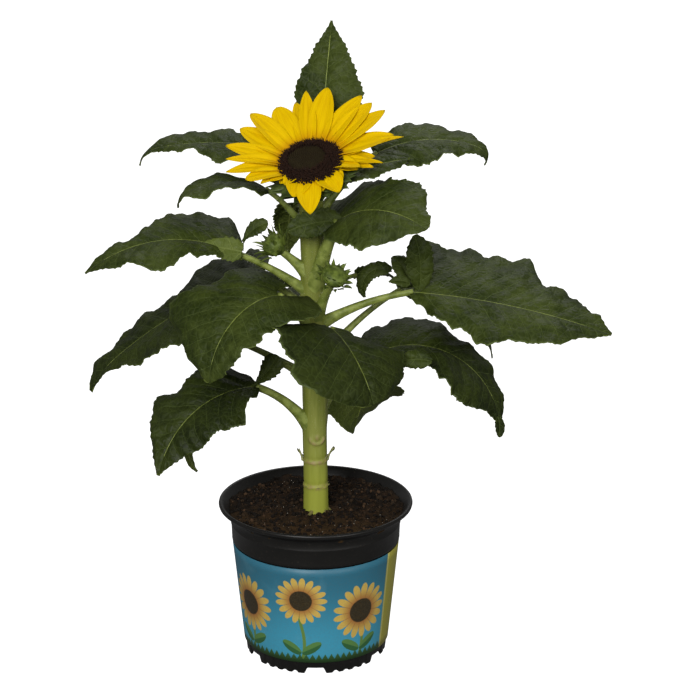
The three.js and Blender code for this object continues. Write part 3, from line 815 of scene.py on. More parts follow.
chance = random.Random(23)
scraps = [stub_form(math.radians(turn), height * MM, length * MM, lean)
          for turn, height, length, lean in STUBS]
for count, level, spread, length in SCRAPS:
    for _ in range(count):
        angle = chance.uniform(0, 2 * math.pi)
        height = (level + chance.gauss(0, spread)) * MM
        scraps.append(scale_form(angle, height, length * MM))
dry_scrap = grainy_finish("dry_scrap", 350, 3, (108, 118, 62), (172, 168, 118),
                          Roughness=0.7, Specular_IOR_Level=0.25)
set_piece("leaf_scar_scraps", joined(scraps), "stem_skin", [dry_scrap])


def root_form(angle, length):
    """A short root that leaves the stem's foot and dips into the peat."""
    foot, outward = stem_point(STEM_FOOT + 0.5 * MM, angle, -1 * MM)
    side = outward.cross(UP)

    def place_at(share, turn):
        radius = (1.3 * (1 - share) ** 0.8 + 0.25) * MM
        bend = math.sin(3 * share + angle) * 1.2 * MM
        centre = foot + outward * length * share + side * bend - UP * (4.2 * MM * share ** 1.4)
        return centre + (side * math.cos(turn) + UP * math.sin(turn)) * radius

    return rod(place_at, 12, 10)


root_skin = grainy_finish("root_skin", 260, 4, (70, 62, 34), (142, 136, 74),
                          Roughness=0.8, Specular_IOR_Level=0.2)
root_angles = [math.radians(turn) for turn in ROOT_BEARINGS]
roots = [root_form(angle, (3.4 + 1.6 * math.sin(5 * angle)) * MM) for angle in root_angles]
set_piece("stem_foot_roots", joined(roots), "stem_skin", [root_skin])


# --------------------------------------------------------------------- Leaf stalks
# A juicy green stalk carries each leaf: broad where it clasps the stem, channelled
# along its top, and running on under the blade as a midrib that thins to nothing.
STALK_INSET = 3 * MM
STALK_SWELL = 2.0
STALK_RINGS = 26
ROOT_RINGS = 10
ROOT_DROP = 15 * MM
STALK_SIDES = 20
BLADE_THICK = 1.5 * MM
CLEAR = 0.3 * MM
RIB_RINGS = 64
RIB_SHARE = 0.86
RIB_THICKNESS = 0.72
TIP_START = 0.78


def limb(start, heading, climb, length, steps):
    """Stations of a limb whose heading and climb are functions of the share along it."""
    point = start.copy()
    stations = []
    for index in range(steps + 1):
        share = index / steps
        side = bearing_of(heading(share) - 90, 0)
        direction = bearing_of(heading(share), climb(share))
        stations.append((point.copy(), side, direction, side.cross(direction)))
        half = (index + 0.5) / steps
        point += bearing_of(heading(half), climb(half)) * (length / steps)
    return stations


def stalk_limb(facts):
    """The stations of a stalk, from inside the stem to its blade or bud."""
    length, _, climb, fall = facts["stalk"]
    heading = facts["heading"]
    foot = stem_centre(facts["node"] * MM)
    foot += bearing_of(heading, 0) * (stem_radius(facts["node"] * MM) - STALK_INSET)
    return limb(foot, lambda share: heading, lambda share: climb + (fall - climb) * share,
                length * MM + STALK_INSET, STALK_RINGS)


def stalk_radius(facts, share, turn):
    """Section of a stalk: a clasping base and a channel on top."""
    swell = 1 + (STALK_SWELL - 1) * (1 - share) ** 2.2
    channel = 0.34 * bell(turn - math.pi / 2, 0.5) * min(1, 3 * share)
    ridges = 0.03 * math.cos(7 * turn)
    return facts["stalk"][1] * MM * swell * (1 - channel + ridges)


def stalk_form(facts):
    """A stalk whose foot runs down the stem as a ridge that sinks into it."""
    stations = stalk_limb(facts)
    foot, _, direction, _ = stations[0]
    inward = -bearing_of(facts["heading"], 0)
    thick = facts["stalk"][1] * MM * STALK_SWELL
    sink = foot + inward * (thick - STALK_INSET + 1.2 * MM) - UP * ROOT_DROP
    knee = foot - direction * (0.45 * ROOT_DROP)

    def place_at(share, turn):
        step = round(share * (ROOT_RINGS + STALK_RINGS)) - ROOT_RINGS
        point, side, _, normal = stations[max(0, step)]
        if step < 0:
            down = -step / ROOT_RINGS
            point = foot * (1 - down) ** 2 + knee * (2 * down * (1 - down)) + sink * down ** 2
            lean = ((foot - knee) * (1 - down) + (knee - sink) * down).normalized()
            normal = side.cross(lean)
        from_below = turn if turn > -math.pi / 2 else turn + 2 * math.pi
        radius = stalk_radius(facts, max(0, step) / STALK_RINGS, from_below)
        return point + (side * math.cos(turn) + normal * math.sin(turn)) * radius

    return rod(place_at, ROOT_RINGS + STALK_RINGS, STALK_SIDES)


def blade_limb(facts, steps):
    """The stations of a blade's middle line, from its stalk's end or its own start."""
    length, _, rise, droop, turn = facts["blade"][:5]
    if "start" in facts:
        base = Vector(facts["start"]) * MM
    else:
        point, _, direction, _ = stalk_limb(facts)[-1]
        kink = math.radians(abs(rise - facts["stalk"][3]))
        base = point + direction * (CLEAR + BLADE_THICK / 2 * math.sin(kink))
    curl = facts.get("curl", 0)

    def climb(share):
        near_tip = max(0, (share - TIP_START) / (1 - TIP_START)) ** 1.5
        return rise + (droop - rise) * share + curl * near_tip

    return limb(base, lambda share: facts["heading"] + turn * share, climb, length * MM, steps)


def rolled(side, normal, roll):
    """The ways across and up after a roll about a limb's own line."""
    return (side * math.cos(roll) + normal * math.sin(roll),
            normal * math.cos(roll) - side * math.sin(roll))


def rib_form(facts):
    """The midrib under a blade, from the stalk's end almost to the blade's tip."""
    stations = blade_limb(facts, RIB_RINGS)
    end = round(RIB_RINGS * RIB_SHARE)
    thick = facts["stalk"][1] * MM * RIB_THICKNESS
    roll_base, roll_tip = facts["blade"][5:]

    def place_at(share, turn):
        point, side, direction, normal = stations[round(share * end)]
        roll = roll_base + (roll_tip - roll_base) * share * RIB_SHARE
        across, up = rolled(side, normal, math.radians(roll))
        radius = thick * (1 - share) ** 0.8 + 0.12 * MM
        sunk = point - up * (radius + 0.25 * MM) - direction * (2.5 * MM * (1 - share) ** 12)
        return sunk + (across * math.cos(turn) + up * math.sin(turn)) * radius

    return rod(place_at, end, 12)


def streaked_finish(name, scale, dark, light, relief, **constants):
    """A green skin of streaks that run no special way."""
    finish, tree, shader = new_finish(name, **constants)
    skin, ridges = streaked_skin(tree, (scale, scale, scale), colour(*dark), colour(*light))
    tree.links.new(skin, shader.inputs["Base Color"])
    raise_surface(tree, shader, ridges, relief, 0.6)
    return finish


stalk_skin = streaked_finish("stalk_skin", 190, (100, 112, 42), (138, 149, 72), 0.25 * MM,
                             Roughness=0.5, Specular_IOR_Level=0.35)
for name, facts in LEAVES.items():
    stalk = joined([stalk_form(facts), rib_form(facts)])
    set_piece(name + "_petiole", stalk, "stem_skin", [stalk_skin], name + "_stalk")
for name, facts in BUDS.items():
    set_piece(name + "_shoot", stalk_form(facts), "stem_skin", [stalk_skin], name + "_stalk")


# --------------------------------------------------------------------- Leaf blades
# Dark, rough, heart-based leaves, each one thin skin quilted between its veins, with
# saw teeth and waves along its margins and a paler underside. The lower leaves are
# darker.
BLADE_MESH = (118, 46)
LEAFLET_MESH = (56, 24)
BLADE_FOLD = math.radians(9)
BLADE_CUP = 0.22
SKIN_THICK = 0.45 * MM
VEIN_SPACING = 11.5 * MM
VEIN_SLANT = 0.8
TOOTH_PITCH = 4.6
TOOTH_DEPTH = 1.7 * MM
QUILT_HEIGHT = 0.65
RUFFLE_HEIGHT = 1.5 * MM
DENT_HEIGHT = 1.8 * MM
HEART_SHARE = 0.04
SMOOTH_ROWS = 6

# The margin's slow lobes and the waves across it, as a length in millimetres and a size.
LOBES = ((34, 0.035), (15, 0.0245), (8.5, 0.0175))
WAVES = ((40, 1.0), (19, 0.75), (9, 0.3))


def outline_share(share, broad, taper):
    """How much of its full width a leafy form has at a share along it."""
    peak = broad / (broad + taper)
    highest = peak ** broad * (1 - peak) ** taper
    return share ** broad * (1 - share) ** taper / highest


def blade_margin(facts, rows, chance):
    """How far each side of the blade reaches at each row: outline, lobes and teeth."""
    length, width = facts["blade"][:2]
    teeth = length * 1.25 / TOOTH_PITCH
    sides = facts.get("sides", (1, 1))
    reaches = []
    for side in range(2):
        phases = [chance.random() for _ in range(4)]
        tooth_phase = phases.pop(2)
        uneven = [chance.uniform(0.35, 1.5) for _ in range(int(teeth) + 3)]
        reach = []
        for row in range(rows + 1):
            share = row / rows
            outline = outline_share(share, facts["broad"], facts["taper"])
            half = outline * width / 2 * MM * sides[side]
            half *= 1 + sum(size * math.sin(2 * math.pi * (length / pitch * share + phase))
                            for (pitch, size), phase in zip(LOBES, phases))
            for at, extent, breadth in facts.get("bumps", {}).get(side, ()):
                half += extent * MM * bell(share - at, breadth)
            count, saw = divmod(share * teeth + tooth_phase, 1)
            tooth = (saw ** 1.4 if saw < 0.8 else (1 - saw) * 4 * 0.73) - 0.35
            half += TOOTH_DEPTH * tooth * uneven[int(count)] * min(1, half / (7 * MM))
            reach.append(max(half, (1.5 if share < 0.5 else 0.35) * MM))
        reaches.append(reach)
    return reaches


def blade_form(name, facts):
    """A blade's upper skin, with one map for its vein lines and one for its fine net."""
    length, width = facts["blade"][:2]
    roll_base, roll_tip = facts["blade"][5:]
    chance = random.Random(name)
    rows, columns = LEAFLET_MESH if "start" in facts else BLADE_MESH
    stations = blade_limb(facts, rows)
    margins = blade_margin(facts, rows, chance)
    waves = [[(length / pitch, chance.random(), weight) for pitch, weight in WAVES]
             for _ in range(2)]
    heart = facts.get("heart", HEART_SHARE) * width * MM
    puff = facts.get("quilt", QUILT_HEIGHT) * MM
    form = bmesh.new()
    vein_map = form.loops.layers.uv.new("veins")
    skin_map = form.loops.layers.uv.new("skin")
    bmesh.ops.create_grid(form, x_segments=rows, y_segments=columns, size=1)
    flat = {}
    for vert in form.verts:
        share = (vert.co.x + 1) / 2
        place = -vert.co.y
        row = round(share * rows)
        side = 1 if place > 0 else 0
        out = abs(place)
        point, aside, direction, normal = stations[row]
        margin = margins[side][row]
        nearby = margins[side][max(0, row - SMOOTH_ROWS):row + SMOOTH_ROWS + 1]
        smooth = min(sum(nearby) / len(nearby), margin + 3 * MM)
        half = smooth + (margin - smooth) * out ** 4
        back = heart * out ** 2 * (1 - share) ** 6
        across_far = math.copysign(half * out, place)
        along_far = share * length * MM - back
        slanted = along_far - VEIN_SLANT * half * out + 0.12 * half * out ** 2
        phase = slanted / VEIN_SPACING
        roll = math.radians(roll_base + (roll_tip - roll_base) * share)
        across, up = rolled(aside, normal, roll)
        lift = half * (out * math.sin(BLADE_FOLD) - BLADE_CUP * out * out)
        quilt = 0.5 - 0.5 * math.cos(2 * math.pi * (phase + 0.5 * side))
        quilt *= min(1, half * out / (4 * MM)) * (1 - out ** 5) * min(1, 4 * (1 - share))
        lift += puff * quilt - 0.4 * MM * bell(half * out, 1.2 * MM)
        for times, start, weight in waves[side]:
            wave = weight * math.sin(2 * math.pi * (times * share + start))
            lift += RUFFLE_HEIGHT * wave * out ** 2.4 * min(1, half / (16 * MM))
        dents = noise.noise(Vector((share * length / 16, place * width / 32, len(name))))
        dents *= min(1, 3 * share) * min(1, half * out / (7 * MM))
        lift += DENT_HEIGHT * dents
        flat[vert.index] = (phase, place, along_far / MM / 10, across_far / MM / 10)
        vert.co = (point + across * (across_far * math.cos(BLADE_FOLD)) + up * lift
                   - direction * back)
    for face in form.faces:
        side = 0.5 if sum(flat[vert.index][1] for vert in face.verts) > 0 else 0
        for loop in face.loops:
            phase, place, along, across = flat[loop.vert.index]
            loop[vein_map].uv = (phase + side, place)
            loop[skin_map].uv = (along, across)
    return form


# A leaf's veins: side veins that thin toward the margin, the middle vein and a faint
# net between them; how high the skin stands; and its pale rim.
veins = bpy.data.node_groups.new("leaf_veins", "ShaderNodeTree")
veins.interface.new_socket("Width", in_out="INPUT", socket_type="NodeSocketFloat")
for socket in ("Vein", "Height", "Rim"):
    veins.interface.new_socket(socket, in_out="OUTPUT", socket_type="NodeSocketFloat")
given = veins.nodes.new("NodeGroupInput")
result = veins.nodes.new("NodeGroupOutput")
line_place = add_node(veins, "ShaderNodeUVMap", {}, uv_map="veins").outputs[0]
lines = add_node(veins, "ShaderNodeSeparateXYZ", {0: line_place})
skin_place = add_node(veins, "ShaderNodeUVMap", {}, uv_map="skin").outputs[0]
spread = add_node(veins, "ShaderNodeSeparateXYZ", {0: skin_place})
wander = sums(veins, "MULTIPLY_ADD", grain(veins, skin_place, 1.3, 2), 0.22, -0.11)
nearest = sums(veins, "PINGPONG", sums(veins, "ADD", lines.outputs[0], wander), 0.5)
out = sums(veins, "ABSOLUTE", lines.outputs[1])
side_vein = sums(veins, "MULTIPLY", span(veins, nearest, given.outputs["Width"], 0.004),
                 span(veins, out, 1.0, 0.35, 0.25, 1.0))
middle_width = sums(veins, "MULTIPLY", given.outputs["Width"], 1.2)
middle = span(veins, sums(veins, "ABSOLUTE", spread.outputs[1]), middle_width, 0.01, 0.0, 0.6)
net = add_node(veins, "ShaderNodeTexVoronoi", {"Vector": skin_place, "Scale": 2.4},
               feature="DISTANCE_TO_EDGE").outputs[0]
net_line = span(veins, net, 0.08, 0.01, 0.0, 0.22)
found = sums(veins, "MAXIMUM", middle, sums(veins, "MAXIMUM", side_vein, net_line))
veins.links.new(found, result.inputs["Vein"])
veins.links.new(span(veins, out, 0.955, 0.995), result.inputs["Rim"])
fine_net = add_node(veins, "ShaderNodeTexVoronoi", {"Vector": skin_place, "Scale": 5.5},
                    feature="SMOOTH_F1").outputs[0]
fine_pits = sums(veins, "MULTIPLY", fine_net, -0.35)
pillow = sums(veins, "MULTIPLY_ADD", span(veins, net, 0.0, 0.35), 0.7, fine_pits)
veins.links.new(sums(veins, "MULTIPLY_ADD", found, -0.6, pillow), result.inputs["Height"])


def leaf_finish(name, dark, light, vein, width, vein_share, relief, **constants):
    """A leaf skin: cloudy green with veins of its own colour, width and relief."""
    finish, tree, shader = new_finish(name, **constants)
    made = tree.nodes.new("ShaderNodeGroup")
    made.node_tree = veins
    made.inputs["Width"].default_value = width
    place = place_of(tree)
    cloud = span(tree, grain(tree, place, 38, 4), 0.36, 0.64)
    mottle = span(tree, grain(tree, place, 260, 3), 0.3, 0.75)
    tone = sums(tree, "MULTIPLY_ADD", cloud, 0.65, sums(tree, "MULTIPLY", mottle, 0.35))
    green = blend_colours(tree, tone, colour(*dark), colour(*light))
    line_share = sums(tree, "MULTIPLY", made.outputs["Vein"], vein_share)
    veined = blend_colours(tree, line_share, green, colour(*vein))
    paint(tree, shader, sums(tree, "MULTIPLY", made.outputs["Rim"], 0.5), veined, colour(*vein))
    rough = span(tree, grain(tree, place, 130, 3), 0.3, 0.7, 0.42, 0.58)
    tree.links.new(rough, shader.inputs["Roughness"])
    raise_surface(tree, shader, made.outputs["Height"], relief, 0.9)
    return finish


leaf_top = leaf_finish("leaf_top", (35, 45, 11), (63, 73, 27), (104, 118, 62), 0.03, 0.5,
                       0.4 * MM, Specular_IOR_Level=0.12)
darker_leaf_top = leaf_finish("leaf_top_darker", (25, 33, 7), (48, 57, 16), (92, 106, 54), 0.03, 0.5,
                       0.4 * MM, Specular_IOR_Level=0.14)
leaf_under = leaf_finish("leaf_under", (74, 86, 34), (92, 103, 46), (122, 132, 70), 0.06, 0.6,
                         -0.6 * MM, Specular_IOR_Level=0.1)
for name, facts in list(LEAVES.items()) + list(LEAFLETS.items()):
    upper = darker_leaf_top if facts.get("old") else leaf_top
    sides = [leaf_under, upper] if facts.get("turned") else [upper, leaf_under]
    solid = [] if "start" in facts else [name + "_blade"]
    blade = set_piece(name + "_leaf", blade_form(name, facts), "leaf", sides, *solid)
    skin = blade.modifiers.new("skin", "SOLIDIFY")
    skin.thickness = SKIN_THICK
    skin.offset = -1
    skin.material_offset = 1
    skin.material_offset_rim = 1


# -------------------------------------------------------------------------- Buds
# Two side buds, each a green heart closed round by three rings of narrow pointed
# bracts: the left one tight with long bracts, the right one flat-topped with short ones.
BRACT_ROWS = 14
BRACT_COLUMNS = 6
BRACT_BROAD = 0.45
BRACT_THICK = 0.35 * MM
BUD_BRACT_WIDTH = 3.4 * MM
BUD_RINGS = 3

# The heart's outline as shares of the bud's radius and depth.
HEART_PROFILE = ((0.78, 0.24), (0.9, 0.5), (0.72, 0.72), (0.4, 0.82), (0, 0.84))


def bract_form(start, heading, climb, length, width, steps=BRACT_ROWS, cup=0.3, taper=1.1):
    """A narrow pointed bract of leafy skin, cupped along its middle."""
    stations = limb(start, heading, climb, length, steps)
    form = bmesh.new()
    bmesh.ops.create_grid(form, x_segments=steps, y_segments=BRACT_COLUMNS, size=1)
    for vert in form.verts:
        share = (vert.co.x + 1) / 2
        point, side, _, normal = stations[round(share * steps)]
        half = max(0.12 * MM, outline_share(share, BRACT_BROAD, taper) * width / 2)
        if share < 0.3:
            half = max(half, width * 0.36)
        out = -vert.co.y
        keel = -0.5 * MM * bell(out, 0.25) * (1 - share)
        vert.co = point + side * (half * out) + normal * (half * cup * out * out + keel)
    bmesh.ops.solidify(form, geom=form.faces[:], thickness=BRACT_THICK)
    bmesh.ops.recalc_face_normals(form, faces=form.faces)
    return form


def moved(form, place):
    """A form carried to its place."""
    bmesh.ops.transform(form, matrix=place, verts=form.verts)
    return form


def pointing(way):
    """The turn that lays +Z along a way."""
    return way.to_track_quat("Z", "Y").to_matrix().to_4x4()


def bud_place(facts):
    """The frame of a bud: its foot at the shoot's end, +Z along the shoot."""
    point, _, direction, _ = stalk_limb(facts)[-1]
    return Matrix.Translation(point + direction * CLEAR) @ pointing(direction)


def bud_forms(facts, chance, count, spread, tip_curl, length):
    """A bud's green heart and its bracts, in three rings."""
    radius = facts["radius"] * MM
    depth = facts["depth"] * MM
    foot = facts["stalk"][1] * MM
    heart_profile = [(0, -1 * MM), (foot, -0.5 * MM)]
    heart_profile += [(radius * out, depth * height) for out, height in HEART_PROFILE]
    forms = [spun(heart_profile, 28)]
    for ring in range(BUD_RINGS):
        for index in range(count):
            around = 360 * (index + ring / BUD_RINGS) / count + chance.gauss(0, 5)
            start = bearing_of(around, 0) * radius * (0.86 - 0.12 * ring)
            start.z = depth * (0.2 + 0.16 * ring)
            lean = spread - 14 * ring + chance.gauss(0, 8)
            curl = tip_curl + chance.gauss(0, 14)
            forms.append(bract_form(start, lambda share, a=around: a,
                                    lambda share, l=lean, c=curl: 90 - l + c * share,
                                    length * chance.uniform(0.75, 1.15),
                                    BUD_BRACT_WIDTH * (1 - 0.12 * ring)))
    return joined([moved(form, bud_place(facts)) for form in forms])


bud_skin = streaked_finish("bud_skin", 230, (62, 76, 22), (104, 119, 46), 0.2 * MM,
                           Roughness=0.55, Specular_IOR_Level=0.3)
chance = random.Random(31)
left_bud = bud_forms(BUDS["bud_left"], chance, 9, 34, -30, 10 * MM)
set_piece("bud_left_bracts", left_bud, "bud", [bud_skin], "bud_left")
right_bud = bud_forms(BUDS["bud_right"], chance, 12, 50, -30, 6.2 * MM)
set_piece("bud_right_bracts", right_bud, "bud", [bud_skin], "bud_right")


# -------------------------------------------------------------------------- Calyx
# The green cup that carries the open flower on the stem's bent neck, nodding toward the
# front: a solid cup with three rings of broad pointed bracts round it.
CALYX_DEPTH = 19 * MM
CUP_STEPS = 48
CUP_PROFILE = [(0, -20), (7, -19.5), (9, -17), (14, -12.5), (19.5, -7), (21, -3), (20, -1), (0, -0.8)]
CALYX_BRACT_WIDTH = 10.5 * MM
CALYX_BRACT_ROWS = 20
CALYX_BRACT_CUP = -0.22
CALYX_BRACT_TAPER = 1.3
BLOOM_ROLL = 10
BLOOM_UP = bearing_of(-90, 90 - math.degrees(BLOOM_TILT))
BLOOM_FOOT = stem_centre(STEM_TOP) + BLOOM_UP * (CALYX_DEPTH + 3 * CLEAR)
BLOOM = (Matrix.Translation(BLOOM_FOOT) @ Matrix.Rotation(math.radians(-BLOOM_ROLL), 4, "Y")
         @ Matrix.Rotation(BLOOM_TILT, 4, "X"))

# Each ring of bracts: how many, how far out and how low they start, in millimetres from
# the bloom's own middle, how steeply they climb, and how long they are.
CALYX_RINGS = ((13, 12.5, -13.5, 30, 20), (13, 17, -9, 18, 16), (12, 19.5, -4.5, 2, 12))

chance = random.Random(41)
bracts = [moved(spun(in_millimetres(CUP_PROFILE), CUP_STEPS), BLOOM)]
for ring, (count, start_out, start_low, lean, length) in enumerate(CALYX_RINGS):
    for index in range(count):
        around = 360 * (index + 0.37 * ring) / count + chance.gauss(0, 4)
        start = bearing_of(around, 0) * start_out * MM
        start.z = start_low * MM
        rise = lean + chance.gauss(0, 4)
        droop = chance.uniform(-24, 0)
        bract = bract_form(start, lambda share, a=around: a,
                           lambda share, r=rise, d=droop: r + d * share,
                           length * MM * chance.uniform(0.88, 1.1), CALYX_BRACT_WIDTH,
                           CALYX_BRACT_ROWS, CALYX_BRACT_CUP, CALYX_BRACT_TAPER)
        bracts.append(moved(bract, BLOOM))
calyx_skin = streaked_finish("calyx_skin", 160, (50, 64, 26), (88, 102, 46), 0.3 * MM,
                             Roughness=0.55, Specular_IOR_Level=0.3)
set_piece("calyx_bracts", joined(bracts), "leaf", [calyx_skin], "calyx")


# --------------------------------------------------------------------------- Rays
# Yellow petals round the disc: a full row of long ones and a second row of shorter ones
# just under it. Each is thin, pleated along its length and joined to the cup at its root.
RAY_ROWS = 30
RAY_COLUMNS = 14
RAY_ROOT = 15.5 * MM
RAY_THICK = 0.3 * MM
RAY_HEIGHT = 1.2 * MM
RAY_STEP = 0.5 * MM
UNDER_RAY_HEIGHT = 0.2 * MM
PLEAT_DEPTH = 0.55 * MM
PLEAT_PLACE = 0.36

# For each petal: heading in the bloom's own plane, how far the tip reaches from the middle in
# millimetres, climb out of level, width in millimetres, and how blunt the tip is.
RAYS = (
    (72, 58, 24, 16, 0.3), (86, 55, 23, 11, 0.2), (95, 49, 20, 12, 0.3), (110, 50, 17, 17, 0.9),
    (129, 54, 16, 15, 0.7), (144, 52, 11, 16, 0.6), (164, 54, 9, 13, 0), (175, 53, 5, 9, 0),
    (187, 54, 3, 12, 0), (199, 44, 2, 12, 0.9), (209, 37, -1, 9, 0.2), (230, 27, -2, 9, 0.2),
    (248, 34, -7, 16, 0.1), (266, 47, -11, 16, 0.2), (298, 35, -7, 17, 0.1), (338, 35, 7, 15, 0.2),
    (348, 41, -4, 9, 0), (352, 47, -2, 9, 0), (9, 63, 10, 12, 0), (14, 58, 8, 16, 0.1),
    (31, 62, 17, 16, 0.2), (41, 60, 19, 15, 0.3), (49, 60, 22, 14, 0.3),
)
UNDER_RAYS = (
    (61, 46, 18, 13, 0.3), (80, 46, 18, 13, 0.3), (103, 43, 14, 13, 0.3), (119, 45, 11, 13, 0.3),
    (135, 46, 9, 13, 0.3), (153, 44, 7, 13, 0.3), (168, 44, 3, 11, 0.3), (193, 38, -1, 10, 0.3),
    (218, 26, -4, 10, 0.3), (240, 27, -8, 12, 0.3), (257, 30, -14, 12, 0.3), (282, 28, -12, 12, 0.3),
    (314, 28, -6, 12, 0.3), (340, 32, -3, 11, 0.3), (0, 42, 2, 12, 0.3), (22, 40, 10, 12, 0.3),
    (37, 48, 17, 13, 0.3),
)


def ray_form(heading, reach, climb, width, blunt, height, chance):
    """One petal: pleated along its length, cupped, and curled at its tip."""
    bend = chance.uniform(8, 20)
    climb -= BLOOM_ROLL * math.cos(math.radians(heading))
    swerve = chance.gauss(0, 6)
    twist = math.radians(chance.gauss(0, 12))
    cup = chance.uniform(0.1, 0.3)
    notch = chance.uniform(0, 1.6) * MM
    start = bearing_of(heading, 0) * RAY_ROOT
    start.z = height
    length = (reach * MM - RAY_ROOT) / math.cos(math.radians(climb))
    stations = limb(start, lambda share: heading + swerve * (share - 0.5),
                    lambda share: climb + bend * (0.5 - share), length, RAY_ROWS)
    form = bmesh.new()
    petal_map = form.loops.layers.uv.new("petal")
    bmesh.ops.create_grid(form, x_segments=RAY_ROWS, y_segments=RAY_COLUMNS, size=1)
    flat = {}
    for vert in form.verts:
        share = (vert.co.x + 1) / 2
        place = -vert.co.y
        flat[vert.index] = (share, place)
        point, side, direction, normal = stations[round(share * RAY_ROWS)]
        swelling = math.sin(math.pi * min(1, 0.12 + 0.88 * share ** (0.9 + 0.45 * blunt)))
        outline = swelling ** (0.62 - 0.2 * blunt) * (1 - 0.25 * share ** 6)
        half = max(0.25 * MM, width / 2 * MM * outline)
        across, up = rolled(side, normal, twist * share)
        pleats = bell(place - PLEAT_PLACE, 0.13) + bell(place + PLEAT_PLACE, 0.13)
        pleats *= PLEAT_DEPTH * math.sin(math.pi * share) ** 0.5
        wave = 0.5 * MM * math.sin(7 * share + heading) * place ** 2
        lift = half * cup * place * place - pleats + wave
        back = direction * (notch * bell(place, 0.25) * share ** 20)
        vert.co = point + across * (half * place) + up * lift - back
    for face in form.faces:
        for loop in face.loops:
            share, place = flat[loop.vert.index]
            loop[petal_map].uv = (share, place / 2 + 0.5)
    bmesh.ops.recalc_face_normals(form, faces=form.faces)
    bmesh.ops.solidify(form, geom=form.faces[:], thickness=RAY_THICK)
    bmesh.ops.recalc_face_normals(form, faces=form.faces)
    return moved(form, BLOOM)


petal_skin, tree, shader = new_finish("petal_skin", Roughness=0.6, Specular_IOR_Level=0.04)
petal_place = add_node(tree, "ShaderNodeUVMap", {}, uv_map="petal").outputs[0]
length_share = add_node(tree, "ShaderNodeSeparateXYZ", {0: petal_place}).outputs[0]
drawn_out = add_node(tree, "ShaderNodeMapping", {"Vector": petal_place, "Scale": (2, 26, 1)})
fine_lines = grain(tree, drawn_out.outputs[0], 1.0, 2)
gold = blend_colours(tree, span(tree, fine_lines, 0.3, 0.7), colour(206, 166, 0), colour(222, 186, 0))
gold = blend_colours(tree, span(tree, length_share, 0.36, 0.04), gold, colour(186, 128, 2))
paint(tree, shader, span(tree, length_share, 0.93, 1.0, 0, 0.5), gold, colour(160, 142, 10))
raise_surface(tree, shader, fine_lines, 0.14 * MM, 0.7)
chance = random.Random(53)
petals = [ray_form(*facts, RAY_HEIGHT + RAY_STEP * (index % 2), chance)
          for index, facts in enumerate(RAYS)]
petals += [ray_form(*facts, UNDER_RAY_HEIGHT, chance) for facts in UNDER_RAYS]
set_piece("ray_petals", joined(petals), "petal", [petal_skin], "rays")


# --------------------------------------------------------------------------- Disc
# The flower's dark middle: a low swollen bed packed with florets along a spiral, closed,
# flat and crowded in the heart, open, forked and furry in the ring round it.
DISC_RADIUS = 20.8 * MM
DISC_STEPS = 72
DISC_RINGS = 20
BED_SHARE = 0.97
BED_SUNK = 0.8 * MM
BED_FLOOR = 0.6 * MM
FLORET_SUNK = 1.1 * MM
HEART_RADIUS = 12.2 * MM
HEART_MIDDLE = (-1.5 * MM, 1 * MM)
FLORET_COUNT = 900
GOLDEN_TURN = math.pi * (3 - math.sqrt(5))
TUFTS_PER_FLORET = 3


def disc_height(out):
    """The disc's surface over its own plane: a ring swell round a shallow dish."""
    share = out / DISC_RADIUS
    return (1.6 + 3.6 * math.sqrt(max(0, 1 - share ** 4)) - 1.2 * bell(share, 0.5)) * MM


bed_profile = [(0, BED_FLOOR), (BED_SHARE * DISC_RADIUS, BED_FLOOR)]
for ring in range(DISC_RINGS, -1, -1):
    out = DISC_RADIUS * ring / DISC_RINGS
    bed_profile.append((BED_SHARE * out, disc_height(out) - BED_SUNK))
disc_base = spun(bed_profile, DISC_STEPS)
closed_floret = spun([(0, 0), (0.9, 0), (1, 0.7), (0.7, 1.25), (0, 1.4)], 7)
closed_floret.verts.ensure_lookup_table()
open_floret = spun([(0, 0), (0.55, 0), (0.45, 1.4), (0.8, 2.1), (0.3, 2.3), (0, 2)], 6)
for vert in open_floret.verts:
    vert.co.x += 0.25 * vert.co.z ** 1.3
open_floret.verts.ensure_lookup_table()
tuft = spun([(0, 0), (0.16, 0), (0.13, 1.5), (0, 2.6)], 4)
for vert in tuft.verts:
    vert.co.x += 0.3 * vert.co.z ** 1.5
tuft.verts.ensure_lookup_table()
closed_places = []
open_places = []
tuft_places = []
for index in range(FLORET_COUNT):
    out = DISC_RADIUS * math.sqrt((index + 0.5) / FLORET_COUNT)
    around = index * GOLDEN_TURN
    foot = Vector((out * math.cos(around), out * math.sin(around), disc_height(out) - FLORET_SUNK))
    spot = BLOOM @ Matrix.Translation(foot) @ Matrix.Rotation(around, 4, "Z")
    if math.hypot(foot.x - HEART_MIDDLE[0], foot.y - HEART_MIDDLE[1]) < HEART_RADIUS:
        size = chance.uniform(0.62, 0.74) * MM
        lean = Matrix.Rotation(chance.gauss(0, 0.12), 4, "X")
        closed_places.append(spot @ lean @ Matrix.Diagonal((size, size, size, 1)))
        continue
    outer = max(0, out - HEART_RADIUS) / (DISC_RADIUS - HEART_RADIUS)
    lean = Matrix.Rotation(0.15 + 0.75 * outer + chance.gauss(0, 0.16), 4, "Y")
    size = chance.uniform(0.78, 1.05) * MM
    spot = spot @ lean @ Matrix.Diagonal((size, size, size, 1))
    open_places.append(spot)
    for _ in range(TUFTS_PER_FLORET):
        turn = Matrix.Rotation(chance.uniform(0, 6.3), 4, "Z")
        tilt = Matrix.Rotation(chance.gauss(0, 0.3), 4, "X")
        stretch = Matrix.Diagonal((1, 1, chance.uniform(0.8, 1.25), 1))
        tuft_places.append(spot @ Matrix.Translation((0, 0, 1.2)) @ turn @ tilt @ stretch)

